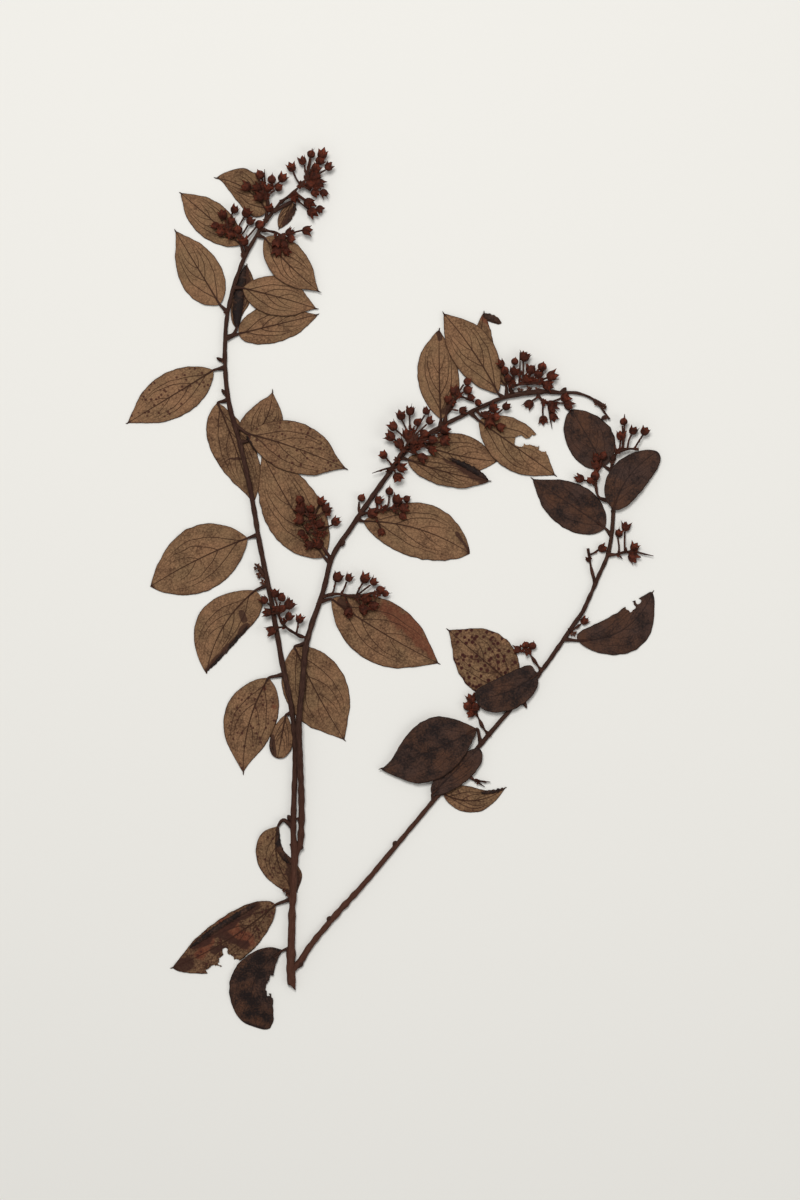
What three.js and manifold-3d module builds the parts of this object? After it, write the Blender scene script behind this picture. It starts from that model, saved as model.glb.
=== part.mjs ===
// A cut branch of an evergreen shrub with small dry fruits, pressed flat and dried.
// Millimetres. The branch lies on the plane z = 0, with x to the right of someone who looks
// down on it, y towards its top and z up.
// The main stem rises from a slanted cut. A long right bough leaves it just above the cut,
// and a middle bough at the fork. Leaves stand singly on short stalks, most of them with the
// underside up, and racemes of fruits stand in their axils.

import * as THREE from 'three';
import { mergeVertices } from 'three/addons/utils/BufferGeometryUtils.js';
import Module from 'manifold-3d';

const wasm = await Module();
wasm.setup();

// Driving sizes
const CLEARANCE = 0.3;
const LEAF_THICKNESS = 0.5;
const MIDRIB_HEIGHT = 0.2;
const STALK_WIDTH = 1.1;
const STALK_THICKNESS = 0.9;
const STALK_TAPER = 0.3;
const STALK_END_SHARE = 0.06;
const LEAF_TIP_WIDTH = 0.4;
const FLAP_THICKNESS = 0.9;
const FLAP_SINK = 0.1;
const FRUIT_RADIUS = 1.9;
const FRUIT_LENGTH = 3.4;
const FRUIT_CORNERS = 5;
const FRUIT_FLATNESS = 0.72;
const FRUIT_RIM_SHARE = 0.8;
const PEDICEL_RADIUS = 0.32;
const PEDICEL_LEAN = 2;
const LEAST_FOOT_SHARE = 0.15;
const RACHIS_RADIUS = 0.6;
const SPIKE_RADIUS = 0.4;
const BUD_RADIUS = 0.9;
const DETAIL = 0.15;
const CUT_SLANT = 1.2;

// Fineness of the faceted surfaces
const STALK_STEPS = 3;
const BLADE_STEPS = 12;
const FLAP_STEPS = 5;
const LIMB_SIDES = 7;
const RACHIS_SIDES = 5;
const SPIKE_SIDES = 3;
const BITE_CORNERS = 8;
const BITE_DEPTH = 20;
const STEPS_PER_ROW = 2;
const NEAREST_SAMPLES = 400;

const UP = new THREE.Vector3(0, 0, 1);

const FINISHES = {
  bark: { color: '#3b2721', roughness: 0.8 },
  underside: { color: '#7c6148', roughness: 0.85 },
  upperside: { color: '#3a2b27', roughness: 0.7 },
  fruit: { color: '#431d16', roughness: 0.75 },
};

// Solids

function solidOf(geometry) {
  const bare = geometry.clone();
  bare.deleteAttribute('normal');
  bare.deleteAttribute('uv');
  const merged = mergeVertices(bare, 1e-4);
  return new wasm.Manifold(new wasm.Mesh({
    numProp: 3,
    vertProperties: merged.attributes.position.array,
    triVerts: new Uint32Array(merged.index.array),
  }));
}

// The largest body of a solid, as a geometry. The scraps that a cut leaves are dropped, and so
// are facets smaller than the detail.
function geometryOf(solid) {
  const bodies = solid.simplify(DETAIL).decompose();
  const mesh = bodies.reduce((a, b) => (b.volume() > a.volume() ? b : a)).getMesh();
  const geometry = new THREE.BufferGeometry();
  geometry.setAttribute('position', new THREE.Float32BufferAttribute(mesh.vertProperties, 3));
  geometry.setIndex(new THREE.BufferAttribute(mesh.triVerts, 1));
  const faceted = geometry.toNonIndexed();
  faceted.computeVertexNormals();
  return faceted;
}

function piece(name, solid, finish) {
  const material = new THREE.MeshStandardMaterial({ ...FINISHES[finish], metalness: 0 });
  const mesh = new THREE.Mesh(geometryOf(solid), material);
  mesh.name = name;
  return mesh;
}

// Moves every vertex of a geometry to the place that `place` gives for it.
function reshape(geometry, place) {
  const position = geometry.attributes.position;
  for (let i = 0; i < position.count; i += 1) {
    const moved = place(position.getX(i), position.getY(i), position.getZ(i));
    position.setXYZ(i, moved.x, moved.y, moved.z);
  }
  return geometry;
}

// Limbs

// A route is rows of x, y, height of the centre line and radius, joined by one smooth curve.
class Route {
  constructor(rows) {
    this.rows = rows;
    const points = rows.map(([x, y, z]) => new THREE.Vector3(x, y, z));
    this.curve = new THREE.CatmullRomCurve3(points, false, 'centripetal');
  }

  radius(t) {
    const at = t * (this.rows.length - 1);
    const row = Math.min(Math.floor(at), this.rows.length - 2);
    return THREE.MathUtils.lerp(this.rows[row][3], this.rows[row + 1][3], at - row);
  }

  // How far along, from 0 to 1, the route passes nearest to a place seen from above.
  nearest(x, y) {
    let best = 0;
    let least = Infinity;
    for (let i = 0; i <= NEAREST_SAMPLES; i += 1) {
      const point = this.curve.getPoint(i / NEAREST_SAMPLES);
      const distance = Math.hypot(point.x - x, point.y - y);
      if (distance < least) {
        least = distance;
        best = i / NEAREST_SAMPLES;
      }
    }
    return best;
  }
}

// A closed cylinder bent to a route and tapered by its radii. `grow` makes it that much larger
// all round. `slant` leans the first ring, as a rise along the limb for each millimetre across.
function limb(route, { grow = 0, sides = LIMB_SIDES, slant = 0, fine = STEPS_PER_ROW } = {}) {
  const steps = (route.rows.length - 1) * fine;
  const tube = new THREE.CylinderGeometry(1, 1, 1, sides, steps);
  reshape(tube, (side, up, rise) => {
    const t = up + 0.5;
    const along = route.curve.getTangent(t);
    const across = new THREE.Vector3().crossVectors(along, UP).normalize();
    const above = new THREE.Vector3().crossVectors(across, along);
    const radius = route.radius(t) + grow;
    const atFoot = t < 1e-6;
    const atTop = t > 1 - 1e-6;
    const reach = (atTop ? grow : 0) - (atFoot ? grow : 0) + (atFoot ? slant * side * radius : 0);
    return route.curve.getPoint(t)
      .addScaledVector(across, side * radius)
      .addScaledVector(above, rise * radius)
      .addScaledVector(along, reach);
  });
  return solidOf(tube);
}

// Leaves

// Half-width of one side of a blade at a share s of its length: greatest, `width`, at the share
// `widest`, and falling to nothing at both ends, the more slowly the smaller `point` is. Past
// `DRAWN_FROM` it is narrowed evenly by up to the share `drawn`, which draws the tip out.
const DRAWN_FROM = 0.75;
function halfWidth([width, widest, point = 1.7], drawn, s) {
  const toBase = (s / widest) ** widest;
  const toTip = ((1 - s) / (1 - widest)) ** (1 - widest);
  const narrowed = 1 - drawn * Math.max((s - DRAWN_FROM) / (1 - DRAWN_FROM), 0);
  return width * (toBase * toTip) ** point * narrowed;
}

// Height of a blade's middle plane: it settles from the base level by `SETTLED` of the length
// and then runs evenly to the tip level.
const SETTLED = 0.3;
function blade(levels, s) {
  const [base, settled, tip] = levels;
  if (s < SETTLED) {
    return THREE.MathUtils.lerp(settled, base, (1 - s / SETTLED) ** 2);
  }
  return THREE.MathUtils.lerp(settled, tip, (s - SETTLED) / (1 - SETTLED));
}

// A blade lies along a midrib from base to tip that bows to the left by `bow`, with its own
// half-width on each side.
function midrib({ base, tip, bow = 0 }, s) {
  const run = new THREE.Vector2(tip[0] - base[0], tip[1] - base[1]);
  const left = new THREE.Vector2(-run.y, run.x).normalize();
  return new THREE.Vector2(base[0], base[1])
    .addScaledVector(run, s)
    .addScaledVector(left, bow * 4 * s * (1 - s));
}

function bladePoint(leaf, s, side, high, thickness, ridge) {
  const left = new THREE.Vector2(leaf.base[1] - leaf.tip[1], leaf.tip[0] - leaf.base[0]);
  left.normalize();
  const { drawn = 0.3 } = leaf;
  const half = Math.max(halfWidth(side < 0 ? leaf.left : leaf.right, drawn, s), LEAF_TIP_WIDTH / 2);
  const point = midrib(leaf, s).addScaledVector(left, -side * half);
  const rib = high > 0 && side === 0 ? ridge * (1 - s) : 0;
  return new THREE.Vector3(point.x, point.y, blade(leaf.rise, s) + high * thickness / 2 + rib);
}

// A lens of even thickness: a box bent to a blade's outline, whose steps stand closer together
// near the base and the tip.
function lens(leaf, thickness, ridge, steps) {
  const across = ridge > 0 ? 2 : 1;
  const box = new THREE.BoxGeometry(2, 1, 2, across, steps, 1);
  reshape(box, (side, along, high) => {
    const s = (1 - Math.cos(Math.PI * (along + 0.5))) / 2;
    return bladePoint(leaf, s, side, high, thickness, ridge);
  });
  return solidOf(box);
}

// A stalk from its limb's centre line to a little way up the midrib, bent through the place
// `via` where the leaf names one.
function stalk(leaf, route) {
  const start = route.curve.getPoint(route.nearest(...leaf.from));
  const end = midrib(leaf, STALK_END_SHARE);
  const top = new THREE.Vector3(end.x, end.y, blade(leaf.rise, STALK_END_SHARE));
  const base = new THREE.Vector3(leaf.base[0], leaf.base[1], blade(leaf.rise, 0));
  const bends = leaf.via ? [new THREE.Vector3(...leaf.via, (start.z + base.z) / 2)] : [];
  const curve = new THREE.CatmullRomCurve3([start, ...bends, base, top], false, 'centripetal');
  const box = new THREE.BoxGeometry(1, 1, 1, 1, STALK_STEPS * (1 + bends.length), 1);
  reshape(box, (side, along, high) => {
    const t = along + 0.5;
    const centre = curve.getPoint(t);
    const across = new THREE.Vector3().crossVectors(curve.getTangent(t), UP).normalize();
    const left = 1 - STALK_TAPER * t;
    centre.addScaledVector(across, side * STALK_WIDTH * left);
    centre.z += high * STALK_THICKNESS * left;
    return centre;
  });
  return solidOf(box);
}

// A round hole through everything at a place: what insects have eaten.
function bite([x, y, radius]) {
  const drill = new THREE.CylinderGeometry(radius, radius, BITE_DEPTH, BITE_CORNERS);
  drill.rotateX(Math.PI / 2);
  drill.translate(x, y, 0);
  return solidOf(drill);
}

// A leaf: blade, stalk, folded margin and eaten places, before it is cut clear of the limbs.
function leafSolid(leaf, route) {
  let solid = lens(leaf, LEAF_THICKNESS, MIDRIB_HEIGHT, BLADE_STEPS).add(stalk(leaf, route));
  if (leaf.flap) {
    const level = (LEAF_THICKNESS + FLAP_THICKNESS) / 2 - FLAP_SINK;
    const rise = leaf.rise.map((height) => height + level);
    solid = solid.add(lens({ ...leaf.flap, rise }, FLAP_THICKNESS, 0, FLAP_STEPS));
  }
  for (const place of leaf.bites || []) {
    solid = solid.subtract(bite(place));
  }
  return solid;
}

// Racemes

// A dry capsule in its five-pointed calyx on its pedicel: one profile turned about the line
// from the pedicel's foot to the fruit's top, and flattened by the pressing.
function fruit(foot, centre) {
  const reach = foot.distanceTo(centre);
  const neck = reach - FRUIT_LENGTH / 2;
  const rim = neck + FRUIT_LENGTH * FRUIT_RIM_SHARE;
  const top = reach + FRUIT_LENGTH / 2;
  const profile = [[0, 0], [PEDICEL_RADIUS, 0], [PEDICEL_RADIUS, neck], [FRUIT_RADIUS, rim], [0, top]]
    .map(([radius, height]) => new THREE.Vector2(radius, height));
  const body = new THREE.LatheGeometry(profile, FRUIT_CORNERS);
  const direction = centre.clone().sub(foot).normalize();
  const across = new THREE.Vector3().crossVectors(direction, UP).normalize();
  const above = new THREE.Vector3().crossVectors(across, direction);
  reshape(body, (x, y, z) => foot.clone()
    .addScaledVector(across, x)
    .addScaledVector(direction, y)
    .addScaledVector(above, z * FRUIT_FLATNESS));
  return solidOf(body);
}

// A raceme: a rachis that leaves its limb's centre line and rises to its own level, with a
// fruit for each place listed. A pedicel leaves the rachis `PEDICEL_LEAN` before the point
// nearest to its fruit. A spike is a pedicel that has lost its fruit.
function racemeSolid(raceme, route) {
  const start = route.curve.getPoint(route.nearest(...raceme.from));
  const rows = [[start.x, start.y, start.z, RACHIS_RADIUS]];
  raceme.rachis.forEach(([x, y]) => rows.push([x, y, raceme.level, RACHIS_RADIUS]));
  const rachis = new Route(rows);
  const length = rachis.curve.getLength();
  const foot = ([x, y]) => {
    const share = Math.max(rachis.nearest(x, y) - PEDICEL_LEAN / length, LEAST_FOOT_SHARE);
    return rachis.curve.getPoint(share);
  };
  const solids = [limb(rachis, { sides: RACHIS_SIDES, fine: 1 })];
  for (const place of raceme.fruits) {
    solids.push(fruit(foot(place), new THREE.Vector3(...place, raceme.level)));
  }
  for (const place of raceme.spikes || []) {
    const ends = [[...foot(place).toArray(), SPIKE_RADIUS], [...place, raceme.level, SPIKE_RADIUS]];
    solids.push(limb(new Route(ends), { sides: SPIKE_SIDES, fine: 1 }));
  }
  return wasm.Manifold.union(solids);
}

// The stems

const mainStem = new Route([
  [-39.7, -156, 1.6, 1.6],
  [-40.0, -148, 1.9, 1.8],
  [-39.4, -126, 1.9, 1.5],
  [-39.2, -112, 2.4, 1.4],
  [-38.9, -100, 2.3, 1.35],
  [-38.3, -62, 1.8, 1.0],
  [-40.0, -45, 1.9, 1.05],
  [-43.2, -30, 1.9, 1.1],
  [-47.8, -4, 1.7, 1.0],
  [-52.3, 18.4, 1.7, 1.0],
  [-55.3, 36, 1.7, 1.0],
  [-59.9, 57, 1.8, 1.0],
  [-64.3, 73, 1.7, 0.95],
  [-65.9, 91, 1.6, 0.85],
  [-64.9, 108, 1.6, 0.8],
  [-60.0, 126, 1.8, 0.8],
  [-52.2, 141, 2.0, 0.7],
  [-44.0, 152, 2.4, 0.55],
]);

const middleBoughLower = new Route([
  [-36.15, -101.5, 2.2, 1.1],
  [-35.9, -95, 2.1, 1.25],
  [-35.8, -82, 2.5, 1.25],
  [-36.4, -64, 4.1, 1.2],
  [-36.7, -52, 4.1, 1.2],
  [-35.4, -38, 2.8, 1.2],
  [-33.7, -21, 2.1, 1.15],
  [-27.3, -1, 1.7, 1.0],
  [-23.5, 13, 1.6, 0.95],
  [-16.5, 23.8, 1.6, 1.0],
  [-3.5, 42.6, 1.6, 0.95],
  [8, 57, 1.6, 0.85],
  [19.2, 64, 1.6, 0.8],
]);

const middleBoughUpper = new Route([
  [20.0, 64.4, 1.6, 0.8],
  [30, 69.3, 1.6, 0.75],
  [42, 74.6, 1.8, 0.8],
  [52, 77, 2.0, 1.1],
  [61, 77.6, 1.9, 0.9],
  [66, 77.2, 1.7, 0.75],
  [72.7, 77, 1.6, 0.55],
  [79.1, 74.4, 1.6, 0.5],
  [85.4, 66.7, 1.6, 0.4],
]);

const rightBoughLower = new Route([
  [-36.6, -146.8, 1.6, 1.3],
  [-32.3, -140.3, 1.4, 1.15],
  [-21.3, -127, 1.35, 1.2],
  [-12.3, -117.2, 1.3, 1.05],
  [6, -95.4, 1.2, 0.9],
  [33.8, -62.1, 1.2, 0.9],
  [57, -34.3, 1.2, 0.85],
  [74.5, -9.4, 1.2, 0.85],
]);

const rightBoughUpper = new Route([
  [75.1, -8.5, 1.2, 0.85],
  [80.5, 3.8, 1.2, 0.8],
  [85.1, 15, 1.2, 0.8],
  [86.8, 30, 1.2, 0.8],
  [86.3, 42, 1.2, 0.7],
  [86.4, 51.5, 1.3, 0.6],
]);

// Leaves, by the stem that bears them. Widths are a half-width, the share of the length at
// which it is reached and how pointed that side is. `rise` is the level at the base, where the
// blade has settled and at the tip. `drawn` is 0 for a blunt tip.

const mainLeaves = [
  { from: [-49.6, 144.6], base: [-49.5, 148.6], tip: [-69.3, 161.7], bow: -2.8,
    left: [6.8, 0.3], right: [7.2, 0.6, 1.4], rise: [1.6, 0.4, 0.25] },
  { from: [-58.4, 131.2], base: [-59.8, 135.5], tip: [-83.3, 155.8], bow: 0,
    left: [7.3, 0.48, 1.5], right: [6.9, 0.46, 1.6], rise: [1.4, 0.4, 0.25] },
  { from: [-65, 108.5], base: [-68, 112], tip: [-85.5, 141], bow: 0,
    left: [8.8, 0.38], right: [8.2, 0.42, 1.6], rise: [1.2, 0.3, 0.25] },
  { from: [-53, 139.5], base: [-50.3, 138], tip: [-29, 117], bow: -0.8,
    left: [7.9, 0.42], right: [7.1, 0.45], rise: [2.1, 2.1, 2.0] },
  { from: [-62.5, 119], base: [-58.8, 118.2], tip: [-30, 110.3], bow: 0.4,
    left: [7.9, 0.45], right: [7.6, 0.42], rise: [2.4, 1.2, 1.1] },
  { from: [-65.4, 98], base: [-60.5, 100.4], tip: [-29.5, 108], bow: 0,
    left: [7.8, 0.35, 1.6], right: [6.8, 0.42, 1.2], rise: [1.2, 0.25, 0.25] },
  { from: [-65.7, 101], base: [-61.2, 102.8], tip: [-57.3, 127.5], bow: 0,
    left: [3.8, 0.42, 1.2], right: [4.3, 0.64, 2.6], rise: [1.4, 0.3, 0.25],
    flap: { base: [-61.6, 104], tip: [-58.4, 127], bow: 0.8, left: [1.8, 0.4, 0.8], right: [1.8, 0.45, 1] } },
  { from: [-46.6, 148.6], base: [-41.3, 152.4], tip: [-44, 141.8], bow: 0,
    left: [5, 0.45, 1.1], right: [2.8, 0.6, 1], rise: [1.4, 0.8, 0.4],
    flap: { base: [-38.6, 151], tip: [-40.8, 143.5], bow: 0.4, left: [0.9, 0.4, 0.8], right: [0.9, 0.4, 0.8] } },
  { from: [-66.1, 87.6], base: [-70.5, 86], tip: [-104.3, 65.3], bow: 0,
    left: [8.9, 0.44], right: [9, 0.47], rise: [1.2, 0.3, 0.25] },
  { from: [-64.2, 74.6], base: [-68.8, 73.2], tip: [-55, 33.6], bow: 0.8,
    left: [7.4, 0.55, 1.5], right: [9.5, 0.37, 1.9], rise: [0.5, 0.25, 0.25] },
  { from: [-59.2, 57.6], base: [-56.2, 58.4], tip: [-47.2, 77.6], bow: -2.2,
    left: [8.2, 0.32, 1.5], right: [6.9, 0.45, 1.9], rise: [1.2, 1.1, 0.3] },
  { from: [-61.6, 64.4], base: [-56.8, 61], tip: [-18, 47.2], bow: 1,
    left: [10, 0.45], right: [9.8, 0.46], rise: [2.5, 2.1, 1.0], drawn: 0.6,
    flap: { base: [-57.5, 60], tip: [-53.2, 53.6], bow: 0.3, left: [0.7, 0.5, 0.8], right: [0.7, 0.5, 0.8] } },
  { from: [-53, 21.5], base: [-57, 20], tip: [-95.3, 1], bow: -1.2,
    left: [12.8, 0.5], right: [12.6, 0.44], rise: [1.3, 0.4, 0.25], drawn: 0 },
  { from: [-49.6, 2], base: [-54, -0.6], tip: [-73.2, -33.3], bow: -3.6,
    left: [9, 0.3, 1.8], right: [10.8, 0.5, 1.6], rise: [1.3, 0.4, 0.25], drawn: 0,
    flap: { base: [-57, -14.6], tip: [-72.6, -32], bow: 0.2, left: [0.7, 0.5, 0.8], right: [0.7, 0.5, 0.8] } },
  { from: [-43.4, -33.4], base: [-48.8, -35], tip: [-58.7, -72.3], bow: -2.8,
    left: [10.2, 0.42, 1.9], right: [10.4, 0.42, 1.5], rise: [1.3, 0.4, 0.25] },
  { from: [-39.6, -48.4], base: [-42, -49.6], tip: [-45.2, -66.6], bow: 0,
    left: [4.8, 0.62, 1.2], right: [4.4, 0.6, 1.2], rise: [1.4, 1.3, 0.9], drawn: 0,
    flap: { base: [-47.4, -58.6], tip: [-46.8, -65.6], bow: -0.6, left: [0.7, 0.5, 0.8], right: [0.7, 0.5, 0.8] } },
  { from: [-39, -96], via: [-43.3, -91.2], base: [-45, -93.2], tip: [-37.4, -119.4], bow: -4,
    left: [7, 0.68, 4], right: [8.2, 0.28, 0.7], rise: [1.6, 0.3, 0.3], drawn: 0,
    flap: { base: [-45.1, -93.6], tip: [-41.9, -106.8], bow: -1.7, left: [1.2, 0.5, 0.8], right: [1.2, 0.5, 0.8] } },
  { from: [-39.4, -121.6], base: [-46, -124.2], tip: [-86.5, -149], bow: 2,
    left: [9.4, 0.55, 1.2], right: [8.6, 0.42, 1.4], rise: [1.2, 0.4, 0.3],
    bites: [[-66, -143.2, 1.2], [-65.2, -146.8, 3.1], [-61.4, -148, 2.4], [-69.8, -151.2, 3.1],
      [-73.8, -153.6, 2]],
    flap: { base: [-54, -124.2], tip: [-80, -141.4], bow: -0.6, left: [1.2, 0.5, 0.8], right: [1.2, 0.5, 0.8] } },
  { from: [-40, -141], base: [-43, -142], tip: [-53, -172.8], bow: -7,
    left: [9.1, 0.72, 1.5], right: [9.3, 0.55, 0.4], rise: [1.6, 1.2, 0.25], drawn: 0,
    bites: [[-43.1, -156.3, 6.2]] },
];

const middleLeaves = [
  { from: [-24.6, 10.6], base: [-27, 12.6], tip: [-51.4, 53.6], bow: 1,
    left: [11.9, 0.42, 1.6], right: [11.1, 0.45, 1.6], rise: [1.3, 0.4, 1.2] },
  { from: [-33.7, -20.6], base: [-38.6, -22.8], tip: [-19, -59.3], bow: -0.8,
    left: [12.6, 0.44, 1.6], right: [12.2, 0.44, 1.6], rise: [0.6, 0.25, 0.25] },
  { from: [18.8, 63.8], base: [19, 67], tip: [18.4, 102], bow: 0.3,
    left: [8.6, 0.52, 1.5], right: [7.8, 0.42, 1.5], rise: [1.2, 0.3, 0.25] },
  { from: [43.5, 75.4], base: [41.5, 76.9], tip: [20.2, 108.3], bow: -1.2,
    left: [8.8, 0.5], right: [8.4, 0.5], rise: [2.0, 1.3, 1.1] },
  { from: [44.8, 75.8], base: [44.6, 80], tip: [36, 108.8], bow: 4.4,
    left: [3.6, 0.5, 1.2], right: [4.6, 0.5, 1.2], rise: [1.2, 0.3, 0.25],
    flap: { base: [36.2, 107.4], tip: [42.6, 105], bow: 0.2, left: [1, 0.5, 0.8], right: [1.4, 0.5, 0.8] } },
  { from: [10, 58.6], base: [13.5, 56], tip: [41.1, 50.3], bow: -0.9,
    left: [8.6, 0.45, 1.5], right: [6.5, 0.5, 1.5], rise: [0.7, 0.28, 0.25] },
  { from: [3, 51.8], base: [6, 51], tip: [38, 42.5], bow: -1,
    left: [4.8, 0.4, 1.2], right: [5.5, 0.45, 1.2], rise: [1.5, 1.2, 1.1],
    flap: { base: [22, 51.5], tip: [37.6, 43], bow: 0.6, left: [1.2, 0.6, 0.9], right: [1.2, 0.6, 0.9] } },
  { from: [30.2, 69.6], base: [34, 66.2], tip: [64, 44.8], bow: 0,
    left: [9.6, 0.43], right: [9.1, 0.48], rise: [1.5, 1.2, 0.4],
    bites: [[50.2, 58.2, 2.2], [52.9, 57.9, 1.4], [56.4, 58.4, 2.4], [59.6, 56.2, 2.2], [62.6, 54, 2.2]] },
  { from: [-14.6, 27.6], base: [-11.5, 26.7], tip: [30.4, 14], bow: 3.3,
    left: [10.6, 0.55, 1.6], right: [11.2, 0.5], rise: [1.3, 0.4, 0.25], drawn: 0 },
  { from: [-28.6, -5.4], base: [-24, -4], tip: [18, -29.2], bow: -1,
    left: [12.3, 0.48], right: [12.3, 0.47], rise: [1.3, 0.4, 0.25] },
];

const rightLeaves = [
  { from: [52, -40.3], base: [49.2, -39.3], tip: [22, -16.2], bow: 0,
    left: [11.8, 0.4], right: [12, 0.46], rise: [1.1, 0.3, 0.25] },
  { from: [58.4, -33], base: [56.6, -33.6], tip: [32.6, -43], bow: 2.2,
    left: [7.2, 0.55, 0.6], right: [6.6, 0.38, 0.6], rise: [2.6, 2.8, 3.6], drawn: 0 },
  { from: [34.6, -61.2], base: [33.3, -54.9], tip: [-4.6, -70.6], bow: 1.2,
    left: [11.2, 0.55], right: [12.3, 0.42, 2.6], rise: [2.4, 4.0, 2.2] },
  { from: [16, -82.8], base: [15.6, -80.6], tip: [34, -62.4], bow: 0,
    left: [4.2, 0.4, 1.2], right: [5.9, 0.6, 1], rise: [2.2, 2.5, 2.5], drawn: 0 },
  { from: [17.8, -80.9], base: [20, -80.6], tip: [44.3, -78.3], bow: -3.8,
    left: [6, 0.32, 2.4], right: [4.7, 0.4, 1.2], rise: [1, 0.3, 0.25],
    flap: { base: [35, -80.2], tip: [44, -78.5], bow: -0.4, left: [0.8, 0.5, 0.8], right: [0.8, 0.5, 0.8] } },
  { from: [86.3, 46.5], base: [83.4, 48.3], tip: [70.5, 70.7], bow: 0,
    left: [8.8, 0.45, 1], right: [9.6, 0.42, 1.4], rise: [0.9, 0.25, 0.25], drawn: 0 },
  { from: [86.8, 30.6], base: [86.9, 31.4], tip: [104.2, 54], bow: 3,
    left: [7.4, 0.38, 0.9], right: [7.4, 0.52, 1.1], rise: [2.8, 2.9, 1.4], drawn: 0 },
  { from: [86, 21], base: [83.6, 24], tip: [55.2, 43.3], bow: 0,
    left: [9, 0.43, 1.4], right: [9, 0.4], rise: [0.9, 0.3, 0.25] },
  { from: [68, -20.2], base: [73, -20.3], tip: [102.3, -1.4], bow: -6,
    left: [7, 0.45, 1], right: [9.3, 0.52, 1], rise: [1.1, 0.5, 0.25],
    bites: [[93.6, -6.8, 1.9], [96.6, -4.8, 1.1], [91.6, -5.4, 1.6]] },
];

// Racemes and the racemes' remains that are part of their limb

const mainRacemes = [
  { from: [-44, 152], rachis: [[-39.6, 155.1], [-35.6, 159.1], [-32.5, 161.8]], level: 3.4,
    fruits: [[-39.6, 165.4], [-35.4, 168.1], [-31.9, 170.7], [-27.6, 170.5], [-28.5, 168.3], [-25, 165.7],
      [-30.1, 165], [-32.5, 158.7], [-28.5, 159.4], [-30.5, 155.5], [-27, 155.5], [-32.9, 151.6],
      [-31.7, 148], [-28.5, 149.2], [-38.4, 153.4]],
    spikes: [[-31.5, 173]] },
  { from: [-47.2, 147.8], rachis: [[-48.6, 149.5], [-49.2, 153], [-50.2, 157]], level: 3.4,
    fruits: [[-52, 162.6], [-47.4, 160.8], [-43.3, 161.3], [-44.7, 157.6], [-57.4, 158.1], [-53, 157.6],
      [-52.4, 154], [-48.3, 149.5]],
    spikes: [[-50.2, 164.8]] },
  { from: [-57.2, 133.8], rachis: [[-58.8, 136], [-61.5, 139.5], [-65.5, 143]], level: 3.2,
    fruits: [[-57.4, 147.6], [-55.8, 144.5], [-52.2, 143.1], [-62.1, 149], [-66.6, 146.8], [-69.8, 142.8],
      [-63.2, 144.4], [-67.4, 140.2], [-63.8, 139.4], [-60.6, 141]] },
  { from: [-51.8, 141.4], rachis: [[-49, 140.6], [-45.5, 139.6], [-42, 138]], level: 4.2,
    fruits: [[-33.7, 140.6], [-40.4, 139.8], [-39.8, 137.4], [-45.6, 135.6], [-42.4, 135.2],
      [-45.4, 132.6], [-41.6, 132.6]] },
];

const middleRacemes = [
  { from: [-33.8, -19.6], rachis: [[-36.4, -18.4], [-42.9, -13.8], [-45.5, -8]], level: 4.5,
    fruits: [[-50.4, -4.4], [-46.2, -1.8], [-43.4, -3.4], [-40.5, -6.1], [-49, -9.2], [-43.2, -7.6],
      [-40.5, -10.8], [-36.4, -12], [-47.6, -16.4]] },
  { from: [-24.4, 12], rachis: [[-26.5, 15], [-30, 21], [-32.5, 29]], level: 2.8,
    fruits: [[-28, 34.2], [-26, 31.6], [-36.4, 35], [-36.2, 31.2], [-32.2, 31.4], [-36.6, 27.2],
      [-28.6, 25.6], [-35.8, 22], [-22.4, 26.4], [-32.6, 17.2]] },
  { from: [-27.8, -3.6], rachis: [[-22.7, -1.9], [-17.5, -2.6], [-12.6, -3.1]], level: 3.1,
    fruits: [[-21.5, 4.6], [-17.1, 4.3], [-10.9, 4], [-7.3, 2.8], [-4.8, -0.4], [-2.8, -1.8],
      [-10.4, -3.6], [-7.4, -6.4], [-11.2, -8], [-17.4, -8.8]] },
  { from: [-13.4, 29], rachis: [[-10.4, 29.8], [-5, 31], [1.5, 31.6]], level: 2.8,
    fruits: [[-5.4, 34.8], [-1.2, 38.4], [1.8, 35], [5.6, 35.4], [4.6, 31.8], [4, 28.6],
      [-4.4, 22.4]] },
  { from: [-1.6, 46.2], rachis: [[1, 49.6], [5, 55.5], [8, 60]], level: 4.2,
    fruits: [[-3.5, 52.5], [-0.8, 59.8], [0.2, 63.8], [3.4, 68], [6.9, 69.8], [13.3, 69.8], [14.6, 66],
      [9.8, 65.4], [2.6, 57], [15.8, 58.6], [20.4, 58], [20.4, 62.6], [11.6, 51.6], [15.4, 54.6],
      [3.4, 47.6], [2, 44]],
    spikes: [[-8, 45.4]] },
  { from: [20.2, 64.6], rachis: [[21, 68], [23, 73], [26.5, 77.5]], level: 2.8,
    fruits: [[29.4, 81.4], [29.6, 78.2], [30.8, 75.2], [33.6, 73.2], [27.6, 70.1], [24.4, 78], [22, 74.6]] },
  { from: [33, 71], rachis: [[33.8, 69], [37, 67.6], [40, 66]], level: 3.4,
    fruits: [[39.6, 71], [44.6, 71.6], [36.6, 68.4], [40.6, 67.6], [42.4, 63.6], [38, 65.4]] },
  { from: [47.8, 76.4], rachis: [[46.2, 78.8], [51, 80.4], [58, 80.6]], level: 3.6,
    fruits: [[42.6, 88.3], [44.1, 85.7], [48, 89.3], [47.7, 85.4], [51.9, 91.1], [54.2, 86.2], [58.8, 87.2],
      [57.3, 84.4], [62.4, 83.6], [45.4, 82.6], [52.6, 82.4], [60.9, 79.9]] },
  { from: [57, 77.4], rachis: [[57.6, 75.6], [59.6, 73.8], [63, 73]], level: 1.6,
    fruits: [[53.7, 72.6], [59.3, 66.7], [63.2, 67.7], [62.9, 71.3], [67.8, 75.2], [69.3, 72.3]],
    spikes: [[62.7, 63.1]] },
];

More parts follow.
